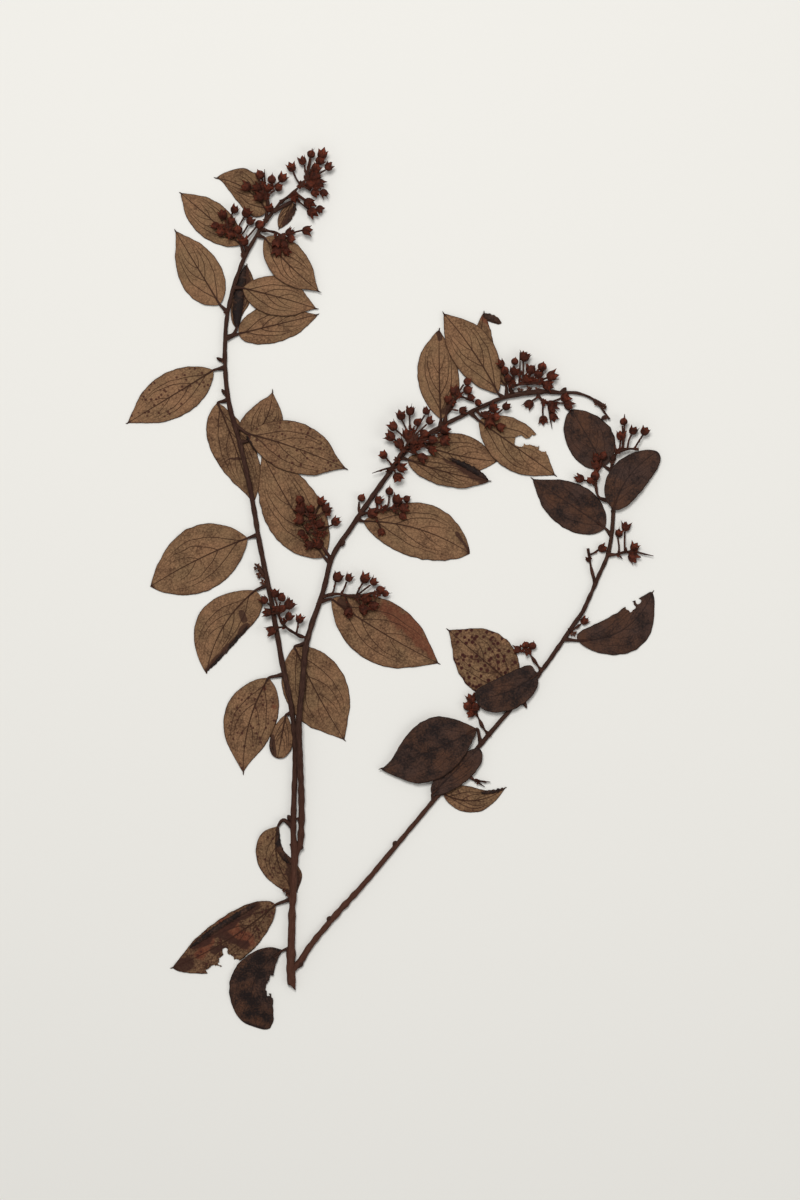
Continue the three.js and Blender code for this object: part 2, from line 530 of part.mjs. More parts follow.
const rightRacemes = [
  { from: [86.4, 51], rachis: [[88.6, 53.9], [92, 54.9], [96.7, 54.8]], level: 3.6,
    fruits: [[90.7, 65.7], [89.8, 60.1], [94.5, 62.2], [99, 61.9]],
    spikes: [[91.2, 68.6], [87.2, 57.7]] },
  { from: [84.8, 34], rachis: [[81.2, 36.2], [79.8, 42], [80.4, 47]], level: 2.4,
    fruits: [[79.6, 44.6], [73.6, 43.4], [77.6, 42.6], [80.2, 51.4], [82.8, 52.4], [79.8, 48.6]] },
  { from: [84.6, 13.6], rachis: [[87.6, 13.6], [92, 14.6], [96.4, 15.2]], level: 1.8,
    fruits: [[91.8, 24.4], [89, 21.8], [95, 16.4], [94.6, 12.6]],
    spikes: [[102.6, 13], [90.4, 11.8]] },
];

const middleLowerRemains = [
  { from: [-12.8, 30.4], rachis: [[-13.4, 31.8], [-13, 33]], level: 2.2, fruits: [[-12.2, 35.8]] },
];

const rightLowerRemains = [
  { from: [58.4, -32.4], rachis: [[56.8, -29.6], [54.6, -26.6], [52.8, -24]], level: 2.3,
    fruits: [[52.3, -22], [49, -23.8], [55, -22.3]] },
  { from: [37.8, -57.4], rachis: [[36, -55], [33.6, -50.4], [31.6, -46]], level: 1.8,
    fruits: [[31, -43], [29.6, -46], [32.6, -46.4], [31, -49]] },
  { from: [26.6, -71], rachis: [[30.5, -73.9], [33.8, -76.1]], level: 1.4,
    fruits: [],
    spikes: [[38.5, -75.9], [36.3, -77.8]] },
  { from: [69.6, -16.6], rachis: [[71.6, -15.6], [73.4, -14.4]], level: 1.5,
    fruits: [[75.4, -12.6]] },
];

const rightUpperRemains = [
  { from: [79.6, 2.6], rachis: [[78.4, 7], [77.6, 11], [76.8, 16]], level: 1.5,
    fruits: [[82.4, 16]],
    spikes: [[76.2, 12.4]] },
];

// Buds and bare spurs: from a place on the limb to the tip.
const mainBuds = [
  [[-50, 4], [-53.4, 9.6]],
  [[-66, 89.4], [-69.2, 91]],
  [[-64.5, 76], [-67.2, 78.6]],
  [[-39, -91.6], [-41.2, -88.8]],
];
const middleLowerBuds = [[[-20.6, 18.2], [-19, 16.8]]];
const middleUpperBuds = [
  [[79, 74.4], [84.2, 71.3]],
  [[84.8, 67.6], [82, 66.9]],
  [[66, 77.2], [68.4, 79.2]],
];
const rightLowerBuds = [[[50.4, -42.4], [52.8, -46.9]]];

// Assembly

function bud(route, [root, tip]) {
  const start = route.curve.getPoint(route.nearest(...root));
  const ends = [[...start.toArray(), BUD_RADIUS], [...tip, start.z, BUD_RADIUS / 2]];
  return limb(new Route(ends), { sides: SPIKE_SIDES, fine: 1 });
}

function limbWithRemains(route, buds, remains, options) {
  return wasm.Manifold.union([
    limb(route, options),
    ...buds.map((ends) => bud(route, ends)),
    ...remains.map((raceme) => racemeSolid(raceme, route)),
  ]);
}

// The route among `routes` that passes nearest to a place.
function routeAt(routes, [x, y]) {
  const distance = (route) => {
    const point = route.curve.getPoint(route.nearest(x, y));
    return Math.hypot(point.x - x, point.y - y);
  };
  return routes.reduce((a, b) => (distance(b) < distance(a) ? b : a));
}

function numbered(stem, index) {
  return `${stem}_${String(index + 1).padStart(2, '0')}`;
}

// A solid cut clear of the limbs.
function clearOf(routes, solid) {
  return routes.reduce((rest, route) => rest.subtract(limb(route, { grow: CLEARANCE })), solid);
}

// Most leaves lie with the tan underside up. The `darkOnes` show their upper side.
function addLeaves(group, stem, leaves, routes, darkOnes) {
  leaves.forEach((leaf, index) => {
    const finish = darkOnes.includes(index + 1) ? 'upperside' : 'underside';
    const solid = clearOf(routes, leafSolid(leaf, routeAt(routes, leaf.from)));
    group.add(piece(numbered(`${stem}_leaf`, index), solid, finish));
  });
}

function addRacemes(group, stem, racemes, routes) {
  racemes.forEach((raceme, index) => {
    const solid = clearOf(routes, racemeSolid(raceme, routeAt(routes, raceme.from)));
    group.add(piece(numbered(`${stem}_raceme`, index), solid, 'fruit'));
  });
}

const branch = new THREE.Group();

const limbs = {
  main_stem: limbWithRemains(mainStem, mainBuds, [], { slant: -CUT_SLANT }),
  middle_bough_lower: limbWithRemains(middleBoughLower, middleLowerBuds, middleLowerRemains),
  middle_bough_upper: limbWithRemains(middleBoughUpper, middleUpperBuds, []),
  right_bough_lower: limbWithRemains(rightBoughLower, rightLowerBuds, rightLowerRemains),
  right_bough_upper: limbWithRemains(rightBoughUpper, [], rightUpperRemains),
};
Object.entries(limbs).forEach(([name, solid]) => branch.add(piece(name, solid, 'bark')));

const middleBough = [middleBoughLower, middleBoughUpper];
const rightBough = [rightBoughLower, rightBoughUpper];

addLeaves(branch, 'main', mainLeaves, [mainStem], [19]);
addLeaves(branch, 'middle', middleLeaves, middleBough, []);
addLeaves(branch, 'right', rightLeaves, rightBough, [2, 3, 4, 6, 7, 8, 9]);
addRacemes(branch, 'main', mainRacemes, [mainStem]);
addRacemes(branch, 'middle', middleRacemes, middleBough);
addRacemes(branch, 'right', rightRacemes, rightBough);

export default branch;
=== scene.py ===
import math

import bpy
import numpy as np
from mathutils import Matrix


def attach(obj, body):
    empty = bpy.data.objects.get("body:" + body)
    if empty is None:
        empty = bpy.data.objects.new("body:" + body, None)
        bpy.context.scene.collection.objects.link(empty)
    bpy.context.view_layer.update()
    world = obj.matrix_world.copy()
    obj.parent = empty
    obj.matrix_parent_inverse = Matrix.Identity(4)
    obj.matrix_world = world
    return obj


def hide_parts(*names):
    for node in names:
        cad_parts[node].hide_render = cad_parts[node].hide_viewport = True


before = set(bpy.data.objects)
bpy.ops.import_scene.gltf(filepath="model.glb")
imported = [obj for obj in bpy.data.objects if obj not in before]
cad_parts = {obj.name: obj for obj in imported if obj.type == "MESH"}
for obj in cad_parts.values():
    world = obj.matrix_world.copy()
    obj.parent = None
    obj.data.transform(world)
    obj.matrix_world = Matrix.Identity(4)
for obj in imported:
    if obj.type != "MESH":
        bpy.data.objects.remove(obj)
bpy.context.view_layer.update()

# The stems
# Five lengths of a dry woody shoot: the main stem with a slanted cut at its foot, and two boughs
# that grow out of it. The bark is thin, dark brown and wrinkled lengthwise by the drying.

MM = 0.001
UP = np.array([0.0, 0.0, 1.0])
FIELDS = ("place", "veins", "marks", "cast")
SWELL_WAVES = 6
CURVE_STEPS = 24
LEAST_HEIGHT = 0.03
RING_STEP = 0.5
LIMB_SIDES = 20
CUT_SLANT = 1.2
# The bark's ridges: how far apart they stand and how far they turn along a limb. The swells
# between the nodes have a length of their own.
RIDGE_SPACING = 0.9
RIDGE_TURN = 0.12
SWELL_LENGTH = 6.0
LIMB_WRINKLE = 0.07
# A painted highlight: the bark is painted lighter from here down, and most at this distance further down.
HIGHLIGHT_BELOW = -60
HIGHLIGHT_OVER = 60
PAINTED_HIGHLIGHT = 0.34
TUFT_SCALES = 9
TURN_OF_SCALES = 2.4
BARK_STRETCH = (0.35, 2.6, 0)

# Rows are x, y, height of the centre line and radius, in millimetres, from the foot up.
STEMS = {
    "main_stem": [
        (-39.7, -156, 1.6, 1.6), (-40.0, -148, 1.9, 1.8), (-39.7, -138, 1.8, 1.5),
        (-39.5, -128, 1.9, 1.4), (-38.9, -116, 2.3, 1.4), (-38.5, -107, 2.4, 1.35),
        (-38.5, -102, 2.3, 1.5), (-39.0, -96, 2.2, 1.15), (-38.8, -84, 2.0, 1.1),
        (-38.3, -62, 1.8, 1.0), (-40.0, -45, 1.9, 1.05), (-43.2, -30, 1.9, 1.1),
        (-47.8, -4, 1.7, 1.0), (-52.3, 18.4, 1.7, 1.0), (-55.3, 36, 1.7, 1.0), (-59.9, 57, 1.8, 1.0),
        (-64.3, 73, 1.7, 0.95), (-65.9, 91, 1.6, 0.85), (-64.9, 108, 1.6, 0.8),
        (-60.0, 126, 1.8, 0.8), (-52.2, 141, 2.0, 0.7), (-44.0, 152, 2.4, 0.55)],
    "middle_bough_lower": [
        (-37.8, -104.6, 2.2, 0.9), (-36.5, -101, 2.2, 1.2), (-35.9, -95, 2.1, 1.25),
        (-35.8, -82, 2.5, 1.25), (-36.4, -64, 4.1, 1.2), (-36.7, -52, 4.1, 1.2), (-35.4, -38, 2.8, 1.2),
        (-33.7, -21, 2.1, 1.15), (-27.3, -1, 1.7, 1.0), (-23.5, 13, 1.6, 0.95),
        (-16.5, 23.8, 1.6, 1.0), (-3.5, 42.6, 1.6, 0.95), (8, 57, 1.6, 0.85), (19.2, 64, 1.6, 0.8)],
    "middle_bough_upper": [
        (18.6, 63.7, 1.6, 0.75), (20.0, 64.4, 1.6, 0.8), (30, 69.3, 1.6, 0.75), (42, 74.6, 1.8, 0.8),
        (52, 77, 2.0, 1.1), (61, 77.6, 1.9, 0.9), (66, 77.2, 1.7, 0.75), (72.7, 77, 1.6, 0.55),
        (79.1, 74.4, 1.6, 0.5), (85.4, 66.7, 1.6, 0.4)],
    "right_bough_lower": [
        (-39.4, -149.8, 1.6, 1.25), (-36.6, -146.8, 1.6, 1.3), (-32.3, -140.3, 1.4, 1.15),
        (-21.3, -127, 1.35, 1.2), (-12.3, -117.2, 1.3, 1.05), (6, -95.4, 1.2, 0.9),
        (33.8, -62.1, 1.2, 0.9), (57, -34.3, 1.2, 0.85), (74.5, -9.4, 1.2, 0.85)],
    "right_bough_upper": [
        (74.2, -10.0, 1.2, 0.8), (75.1, -8.5, 1.2, 0.85), (80.5, 3.8, 1.2, 0.8), (85.1, 15, 1.2, 0.8),
        (86.8, 30, 1.2, 0.8), (86.3, 42, 1.2, 0.7), (86.4, 51.5, 1.3, 0.6)],
}
# Buds, knots and bare spurs, from their place on the stem to their tip, with their radius.
BUDS = {
    "main_stem": [
        (-50, 4, -53.4, 9.6, 0.9), (-66, 89.4, -69.2, 91, 0.8), (-64.5, 76, -67.2, 78.6, 0.8),
        (-39, -91.6, -41.2, -88.8, 1.1), (-39.6, -119.6, -42.2, -118.4, 1.0),
        (-38.7, -100.6, -40.5, -100.4, 0.9), (-36.6, -90.6, -35.2, -90.2, 0.6)],
    "middle_bough_lower": [
        (-20.9, 18.6, -18.8, 17.4, 1.7), (-25.4, 12, -24.6, 11.4, 1.3), (-25.4, 14.4, -20.6, 19.2, 0.6),
        (-28.6, -4.6, -29, -6, 1.2), (-36.6, -101.4, -35, -102, 1.1)],
    "middle_bough_upper": [
        (79, 74.4, 84.2, 71.3, 0.9), (84.8, 67.6, 82, 66.9, 0.8), (66, 77.2, 68.4, 79.2, 0.8)],
    "right_bough_lower": [
        (-37.6, -148.4, -35.2, -145.8, 1.5), (50.4, -42.4, 52.8, -46.9, 0.9),
        (-26, -129.6, -24.6, -128.6, 1.3), (0, -99.8, 1.2, -99, 1.1)],
    "right_bough_upper": [],
}
# Tufts of dry bud scales at the nodes, with their reach.
TUFTS = {
    "main_stem": [
        (-52, 5.6, 1.7), (-53.2, 8.8, 1.7), (-50.6, 2.6, 1.3), (-66.6, 90, 1), (-65, 76, 1.1),
        (-42.6, -118.4, 1.1), (-41.2, -119.8, 1.2),
        (-59, 131, 1.1), (-50, 144.6, 1.1), (-65.4, 108.6, 1), (-53, 21.5, 1)],
    "middle_bough_lower": [
        (-24.6, 11.4, 1.2), (-28.8, -5.4, 1.3), (-1.4, 46, 1.4), (8, 56.4, 1.9), (11.6, 57.6, 2.1),
        (15, 59.4, 2.1), (18.4, 61.6, 2), (14.4, 56.6, 1.7), (20.4, 60.4, 1.7)],
    "middle_bough_upper": [
        (80.6, 73, 1.1), (83, 71.6, 1.3), (83.4, 67.4, 1.2), (47, 77, 1.2), (50, 78, 1.3),
        (53.6, 78.6, 1.3), (57, 78.2, 1.2), (20.4, 65, 1.1)],
    "right_bough_lower": [(71, -17.6, 1.3), (38, -57, 1), (56.6, -33.4, 1)],
    "right_bough_upper": [(85.6, 22, 0.9), (86.6, 32, 0.9), (86.4, 50, 1)],
}


def unit(vectors):
    """Each vector over its length."""
    return vectors / np.maximum(np.linalg.norm(vectors, axis=-1, keepdims=True), 1e-9)


def columns(*values):
    """Values side by side along a new last axis, each spread over the shape of them all."""
    return np.stack(np.broadcast_arrays(*values), -1)


def ripple(places, length, seed):
    """An uneven swell, mostly from -1 to 1: sine waves about as long as `length`, in directions
    and phases drawn from the seed, summed and divided by the root of their number."""
    draw = np.random.default_rng(seed)
    ways = unit(draw.normal(size=(SWELL_WAVES, places.shape[-1])))
    ways *= draw.uniform(0.7, 1.4, (SWELL_WAVES, 1)) * 2 * math.pi / length
    phases = draw.uniform(0, 2 * math.pi, SWELL_WAVES)
    return np.sin(places @ ways.T + phases).sum(-1) / math.sqrt(SWELL_WAVES)


def curve_through(rows):
    """A smooth curve through rows of x, y, z and radius. Between two rows it is a cubic whose
    end slopes weigh the neighbouring chords by the root of their length; past its ends it goes
    straight on. The radius changes evenly from row to row. Gives finely spaced rows."""
    rows = np.asarray(rows, float)
    spots = rows[:, :3]
    spots = np.vstack([2 * spots[0] - spots[1], spots, 2 * spots[-1] - spots[-2]])
    at = np.linspace(0, len(rows) - 1, CURVE_STEPS * (len(rows) - 1) + 1)
    row = np.minimum(at.astype(int), len(rows) - 2)
    w = (at - row)[:, None]
    a, b, c, d = (spots[row + k] for k in range(4))
    chords = ((a, b), (b, c), (c, d))
    ab, bc, cd = (np.linalg.norm(q - p, axis=1)[:, None] ** 0.5 for p, q in chords)
    start = ((b - a) / ab - (c - a) / (ab + bc) + (c - b) / bc) * bc
    end = ((c - b) / bc - (d - b) / (bc + cd) + (d - c) / cd) * bc
    square = 3 * (c - b) - 2 * start - end
    cube = 2 * (b - c) + start + end
    spots = b + start * w + square * w**2 + cube * w**3
    radii = np.interp(at, np.arange(len(rows)), rows[:, 3])
    return np.column_stack([spots, radii])


def lengths_along(path):
    """How far along the path each of its rows lies."""
    steps = np.linalg.norm(np.diff(path[:, :3], axis=0), axis=1)
    return np.concatenate([[0], np.cumsum(steps)])


def evenly(path, step):
    """The path's rows again, about `step` apart."""
    length = lengths_along(path)
    at = np.linspace(0, length[-1], max(4, round(length[-1] / step) + 1))
    return np.column_stack([np.interp(at, length, column) for column in path.T])


def nearest(path, x, y):
    """The number of the path's row that lies nearest to a place seen from above."""
    return int(np.argmin(np.hypot(path[:, 0] - x, path[:, 1] - y)))


def surface(points, faces, finish=0, **fields):
    """A part of a piece: points in millimetres, arrays of faces, the number of the finish of all
    its faces or of each, and fields of three numbers at every point. Unused points are dropped."""
    finish = np.broadcast_to(finish, sum(len(group) for group in faces))
    used, order = np.unique(np.concatenate([group.ravel() for group in faces]), return_inverse=True)
    starts = np.cumsum([0] + [group.size for group in faces])
    faces = [order[a:b].reshape(group.shape) for a, b, group in zip(starts, starts[1:], faces)]
    blank = np.zeros((len(points), 3))
    fields = {name: fields.get(name, blank)[used] for name in FIELDS}
    return {"points": points[used], "faces": faces, "finish": finish, "fields": fields}


def make_piece(name, surfaces, finishes, node):
    """Joins surfaces into one piece in metres, which stands for a node."""
    starts = np.cumsum([0] + [len(part["points"]) for part in surfaces])
    faces = []
    for part, start in zip(surfaces, starts):
        for group in part["faces"]:
            faces.extend((group + start).tolist())
    mesh = bpy.data.meshes.new(name)
    mesh.from_pydata(np.concatenate([part["points"] for part in surfaces]) * MM, [], faces)
    for field in FIELDS:
        values = np.concatenate([part["fields"][field] for part in surfaces])
        attribute = mesh.attributes.new(field, "FLOAT_VECTOR", "POINT")
        attribute.data.foreach_set("vector", values.astype(np.float32).ravel())
    mesh.polygons.foreach_set("material_index", np.concatenate([part["finish"] for part in surfaces]))
    mesh.polygons.foreach_set("use_smooth", np.ones(len(faces), bool))
    for finish in finishes:
        mesh.materials.append(finish)
    mesh.update()
    piece = bpy.data.objects.new(name, mesh)
    bpy.context.scene.collection.objects.link(piece)
    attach(piece, "root")
    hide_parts(node)


def sleeve(rings, finish=0, **fields):
    """A closed sleeve: each ring of points joined to the next, with a fan from the middle of the
    first and of the last ring. A field has one value for each point of the rings."""
    count, sides = rings.shape[:2]
    ids = np.arange(count * sides).reshape(count, sides)
    turned = np.roll(ids, -1, axis=1)
    quads = np.stack([ids[:-1], ids[1:], turned[1:], turned[:-1]], -1).reshape(-1, 4)
    foot, head = np.full(sides, count * sides), np.full(sides, count * sides + 1)
    first_fan = np.stack([foot, ids[0], turned[0]], 1)
    last_fan = np.stack([head, turned[-1], ids[-1]], 1)

    def closed(values):
        """The values of the rings, and then the means of the first and of the last ring."""
        return np.concatenate([values.reshape(-1, 3), values[0].mean(0)[None], values[-1].mean(0)[None]])
    fields = {name: closed(values) for name, values in fields.items()}
    return surface(closed(rings), [quads, first_fan, last_fan], finish, **fields)


def tube(path, sides, seed=0, wrinkle=0.0, slant=0.0, painted_highlight=0.0, finish=0):
    """A round limb along a path: at each row a ring of points, a radius away from it. Ridges that
    run lengthwise swell and shrink the radius by the share `wrinkle`, and `slant` leans the first
    ring. The share that paints a lighter highlight on the bark is one number or one for each row."""
    turns = np.arange(sides) * 2 * math.pi / sides
    length = lengths_along(path)
    along = unit(np.gradient(path[:, :3], axis=0))
    across = unit(np.cross(along, UP))
    above = np.cross(across, along)
    ring = np.broadcast_to(turns, (len(path), sides))
    run = np.broadcast_to(length[:, None], ring.shape)
    around = columns(np.cos(ring), np.sin(ring), run * RIDGE_TURN)
    radius = path[:, 3:4] * (1 + wrinkle * ripple(around, RIDGE_SPACING, seed))
    radius = radius * (1 + wrinkle * ripple(run[..., None], SWELL_LENGTH, seed + 1))
    side, rise = (radius * np.cos(ring))[..., None], (radius * np.sin(ring))[..., None]
    rings = path[:, None, :3] + across[:, None] * side + above[:, None] * rise
    rings[0] += along[0] * slant * side[0]
    rings[..., 2] = np.maximum(rings[..., 2], LEAST_HEIGHT)
    place = columns(run, ring * path[:, 3:4].mean(), np.reshape(painted_highlight, (-1, 1)))
    return sleeve(rings, finish, place=place)


def limb(rows, step, sides, seed=0, wrinkle=0.0, finish=0):
    """A round limb along the smooth curve through a few rows."""
    return tube(evenly(curve_through(rows), step), sides, seed, wrinkle, finish=finish)


def shell(points, quads, thickness, faces_up, faces_down, **fields):
    """A closed sheet: the points, the same points lowered by the thickness, and a rim along each
    edge that only one face uses."""
    count = len(points)
    edges = np.concatenate([quads[:, [k, (k + 1) % 4]] for k in range(4)])
    _, first, uses = np.unique(np.sort(edges, axis=1), axis=0, return_index=True, return_counts=True)
    rim = edges[first[uses == 1]]
    sides = np.stack([rim[:, 1], rim[:, 0], rim[:, 0] + count, rim[:, 1] + count], 1)
    both = np.concatenate([points, points - UP * thickness])
    finish = np.repeat([faces_up, faces_down, faces_up], [len(quads), len(quads), len(sides)])
    fields = {name: np.concatenate([values, values]) for name, values in fields.items()}
    return surface(both, [quads, quads[:, ::-1] + count, sides], finish, **fields)


# A scale's half-width as a share of its length, its least half-width, bend, hollow and
# thickness, and the first two numbers of its place, which colour it as the middle of a fruit.
SCALE_WIDTH = 0.3
SCALE_TIP = 0.04
SCALE_BEND = 0.25
SCALE_HOLLOW = 0.1
SCALE_THICKNESS = 0.1
SCALE_PLACE = (0.5, 0.3)


def scale_of(root, way, length, draw):
    """A small pointed scale. Its half-width is the last three quarters of a sine's arch, and its
    height rises by the squares of the shares along and across it."""
    s, v = np.meshgrid(np.linspace(0, 1, 5), np.linspace(-1, 1, 3), indexing="ij")
    across = unit(np.cross(way, UP) + 1e-6)
    half = SCALE_WIDTH * length * np.sin(math.pi * (0.25 + 0.75 * s)) + SCALE_TIP
    lift = SCALE_BEND * s**2 + SCALE_HOLLOW * v**2
    points = root + way * (s * length)[..., None] - across * (v * half)[..., None] + UP * lift[..., None]
    points[..., 2] = np.maximum(points[..., 2], SCALE_THICKNESS + LEAST_HEIGHT)
    ids = np.arange(s.size).reshape(s.shape)
    quads = np.stack([ids[:-1, :-1], ids[1:, :-1], ids[1:, 1:], ids[:-1, 1:]], -1).reshape(-1, 4)
    place = np.tile([*SCALE_PLACE, draw.uniform()], (s.size, 1))
    return shell(points.reshape(-1, 3), quads[:, ::-1], SCALE_THICKNESS, 0, 0, place=place)


# Between which limits a tuft's scales turn, tilt, start off its middle and reach.
TUFT_TURN = (-0.4, 0.4)
TUFT_TILT = (-0.2, 0.9)
TUFT_ROOTS = (0.0, 0.4)
TUFT_REACH = (0.7, 1.1)


def tuft_of(centre, reach, draw):
    """A tuft of scales that stand off one place, each turned on from the last by the same angle."""
    scales = []
    for number in range(TUFT_SCALES):
        turn = number * TURN_OF_SCALES + draw.uniform(*TUFT_TURN)
        way = unit(np.array([math.cos(turn), math.sin(turn), draw.uniform(*TUFT_TILT)]))
        root = centre + way * reach * draw.uniform(*TUFT_ROOTS)
        scales.append(scale_of(root, way, reach * draw.uniform(*TUFT_REACH), draw))
    return scales


def linear(red, green, blue):
    """A screen colour from 0 to 255, as the light it stands for."""
    share = np.array([red, green, blue]) / 255
    light = np.where(share <= 0.04045, share / 12.92, ((share + 0.055) / 1.055) ** 2.4)
    return (*light.tolist(), 1.0)


def lay(tree, kind, sockets=(), **settings):
    """A shader node with its settings. A socket takes a number, a colour or another's output."""
    node = tree.nodes.new(kind)
    for name, value in settings.items():
        setattr(node, name, value)
    for name, value in dict(sockets).items():
        if isinstance(value, bpy.types.NodeSocket):
            tree.links.new(value, node.inputs[name])
        else:
            node.inputs[name].default_value = value
    return node


def reckon(tree, operation, *values):
    """The result of one sum over shader values."""
    return lay(tree, "ShaderNodeMath", enumerate(values), operation=operation).outputs[0]


def plus(tree, first, second):
    """Two shader values added."""
    return reckon(tree, "ADD", first, second)


def times(tree, first, second):
    """Two shader values multiplied."""
    return reckon(tree, "MULTIPLY", first, second)


def ramp(tree, value, start, end, first=0.0, last=1.0):
    """A value that eases from `first` to `last` while another goes from `start` to `end`."""
    sockets = {"Value": value, "From Min": start, "From Max": end, "To Min": first, "To Max": last}
    return lay(tree, "ShaderNodeMapRange", sockets, interpolation_type="SMOOTHSTEP").outputs[0]


def fading(tree, value, near, far, most=1.0):
    """A share that eases from `most` to nothing while a value goes from `near` to `far`."""
    return ramp(tree, value, near, far, most, 0.0)


def tint(tree, share, first, second):
    """A colour between two, by a share from 0 to 1."""
    return lay(tree, "ShaderNodeMix", {0: share, 6: first, 7: second}, data_type="RGBA").outputs[2]


def field(tree, name):
    """The three numbers of a field of the mesh, and the field as a vector."""
    vector = lay(tree, "ShaderNodeAttribute", attribute_name=name).outputs["Vector"]
    return (*lay(tree, "ShaderNodeSeparateXYZ", {0: vector}).outputs, vector)


def noise(tree, vector, scale, detail):
    """Cloudy values about one half."""
    sockets = {"Vector": vector, "Scale": scale, "Detail": detail}
    return lay(tree, "ShaderNodeTexNoise", sockets).outputs["Fac"]


def new_group(name, kind, inputs, outputs):
    """An empty shader node group, with inputs of one kind and outputs that are plain numbers."""
    tree = bpy.data.node_groups.new(name, "ShaderNodeTree")
    for socket in inputs:
        tree.interface.new_socket(socket, in_out="INPUT", socket_type=kind)
    for socket in outputs:
        tree.interface.new_socket(socket, in_out="OUTPUT", socket_type="NodeSocketFloat")
    return tree, tree.nodes.new("NodeGroupInput").outputs, tree.nodes.new("NodeGroupOutput").inputs


def finish_of(name, roughness):
    """A material with its plain shader."""
    material = bpy.data.materials.new(name)
    material.use_nodes = True
    shader = material.node_tree.nodes["Principled BSDF"]
    shader.inputs["Roughness"].default_value = roughness
    shader.inputs["Specular IOR Level"].default_value = 0.1
    return material, material.node_tree, shader


def set_finish(tree, shader, colour, height, depth):
    """Joins a colour, and a height that dents the surface by `depth` metres, to the shader."""
    tree.links.new(colour, shader.inputs["Base Color"])
    bump = lay(tree, "ShaderNodeBump", {"Height": height, "Distance": depth, "Strength": 1.0})
    tree.links.new(bump.outputs[0], shader.inputs["Normal"])


# Patches and grain that every dry surface shares: slow clouds and a fine speckle.
dry_group, taken, given = new_group(
    "dry surface", "NodeSocketFloat", ("Patch scale", "Grain scale"), ("Patches", "Grain"))
coordinates = lay(dry_group, "ShaderNodeTexCoord").outputs["Object"]
patches = noise(dry_group, coordinates, taken["Patch scale"], 4.0)
grain = noise(dry_group, coordinates, taken["Grain scale"], 2.0)
dry_group.links.new(ramp(dry_group, patches, 0.3, 0.7), given["Patches"])
dry_group.links.new(ramp(dry_group, grain, 0.25, 0.75), given["Grain"])


def dry(tree, patch_scale, grain_scale):
    """The patches and the grain of the shared group at their own scales."""
    sockets = {"Patch scale": patch_scale, "Grain scale": grain_scale}
    outputs = lay(tree, "ShaderNodeGroup", sockets, node_tree=dry_group).outputs
    return outputs["Patches"], outputs["Grain"]


bark, tree, shader = finish_of("dry bark", 0.75)
_, _, painted_highlight, place = field(tree, "place")
stretched = lay(tree, "ShaderNodeVectorMath", {0: place, 1: BARK_STRETCH}, operation="MULTIPLY")
streaks = ramp(tree, noise(tree, stretched.outputs[0], 1.0, 4.0), 0.3, 0.72)
patches, grain = dry(tree, 90.0, 2500.0)
colour = tint(tree, streaks, linear(46, 29, 22), linear(80, 55, 45))
colour = tint(tree, times(tree, patches, 0.55), colour, linear(58, 34, 27))
# A painted highlight: the lower stems are painted a lighter red-brown.
colour = tint(tree, painted_highlight, colour, linear(102, 62, 46))
set_finish(tree, shader, colour, plus(tree, streaks, grain), 0.00012)

# Shares of a bud's length and of its radius, from its root to its tip.
BUD_ROWS = ((0, 0.75), (0.3, 0.85), (0.6, 0.95), (0.85, 0.65), (1, 0.14))
BUD_STEP = 0.35
BUD_SIDES = 10
BUD_WRINKLE = 0.16

stem_paths = {name: curve_through(rows) for name, rows in STEMS.items()}

for number, (name, path) in enumerate(stem_paths.items()):
    slant = -CUT_SLANT if name == "main_stem" else 0.0
    rows = evenly(path, RING_STEP)
    # A painted highlight, painted stronger towards the foot of the stems.
    painted_highlight = PAINTED_HIGHLIGHT * np.clip((HIGHLIGHT_BELOW - rows[:, 1]) / HIGHLIGHT_OVER, 0, 1)
    parts = [tube(rows, LIMB_SIDES, number * 10 + 1, LIMB_WRINKLE, slant, painted_highlight)]
    for x, y, tip_x, tip_y, size in BUDS[name]:
        root = path[nearest(path, x, y)]
        tip = np.array([tip_x, tip_y, root[2]])
        rows = [(*(root[:3] + (tip - root[:3]) * share), size * part) for share, part in BUD_ROWS]
        parts.append(limb(rows, BUD_STEP, BUD_SIDES, number * 10 + 3, BUD_WRINKLE))
    draw = np.random.default_rng(number + 40)
    for x, y, reach in TUFTS[name]:
        parts += tuft_of(np.array([x, y, path[nearest(path, x, y)][2]]), reach, draw)
    make_piece("dried_" + name, parts, [bark], name)

# The leaves
# Thirty-eight leathery leaves on short stalks. Most lie with the tan underside up, on which the
# midrib and the side veins stand out dark; eight show the dark upper side.

LEAF_THICKNESS = 0.34
LEAF_LEAST_TOP = LEAF_THICKNESS + 0.04
LEAF_ROWS = 96
LEAF_COLUMNS = 40
LEAF_SETTLED = 0.3
LEAF_POINT = 1.7
LEAF_TIP_WIDTH = 0.25
# A leaf is drawn out from this share of its length on, and by this share of its width.
DRAWN_FROM = 0.75
DRAWN = 0.3
DOTS = 0.15
# The columns of the grid stand closer together at the midrib.
COLUMN_SPREAD = 0.45
# Depth and length of the margin's waves and nicks, and of the blade's swells and dents. They
# are weaker where the half-width is less than FULL_WAVES, and the two margins differ because
# they take their waves from places that lie OTHER_MARGIN apart.
FULL_WAVES = 3
MARGIN_WAVE = (0.1, 4.5)
MARGIN_NICK = (0.04, 1.5)
BLADE_SWELL = (0.16, 11.0)
BLADE_DENT = (0.05, 3.5)
OTHER_MARGIN = 50.0
# Where a side vein leaves the midrib, how far across it reaches and how soon.
SIDE_VEINS = ((0.07, 0.74, 0.22), (0.3, 0.62, 0.17), (0.5, 0.5, 0.15))
VEIN_DRIFT = (0.3, 9.0)
VEIN_START = 0.02
VEIN_OFFSET = 0.04
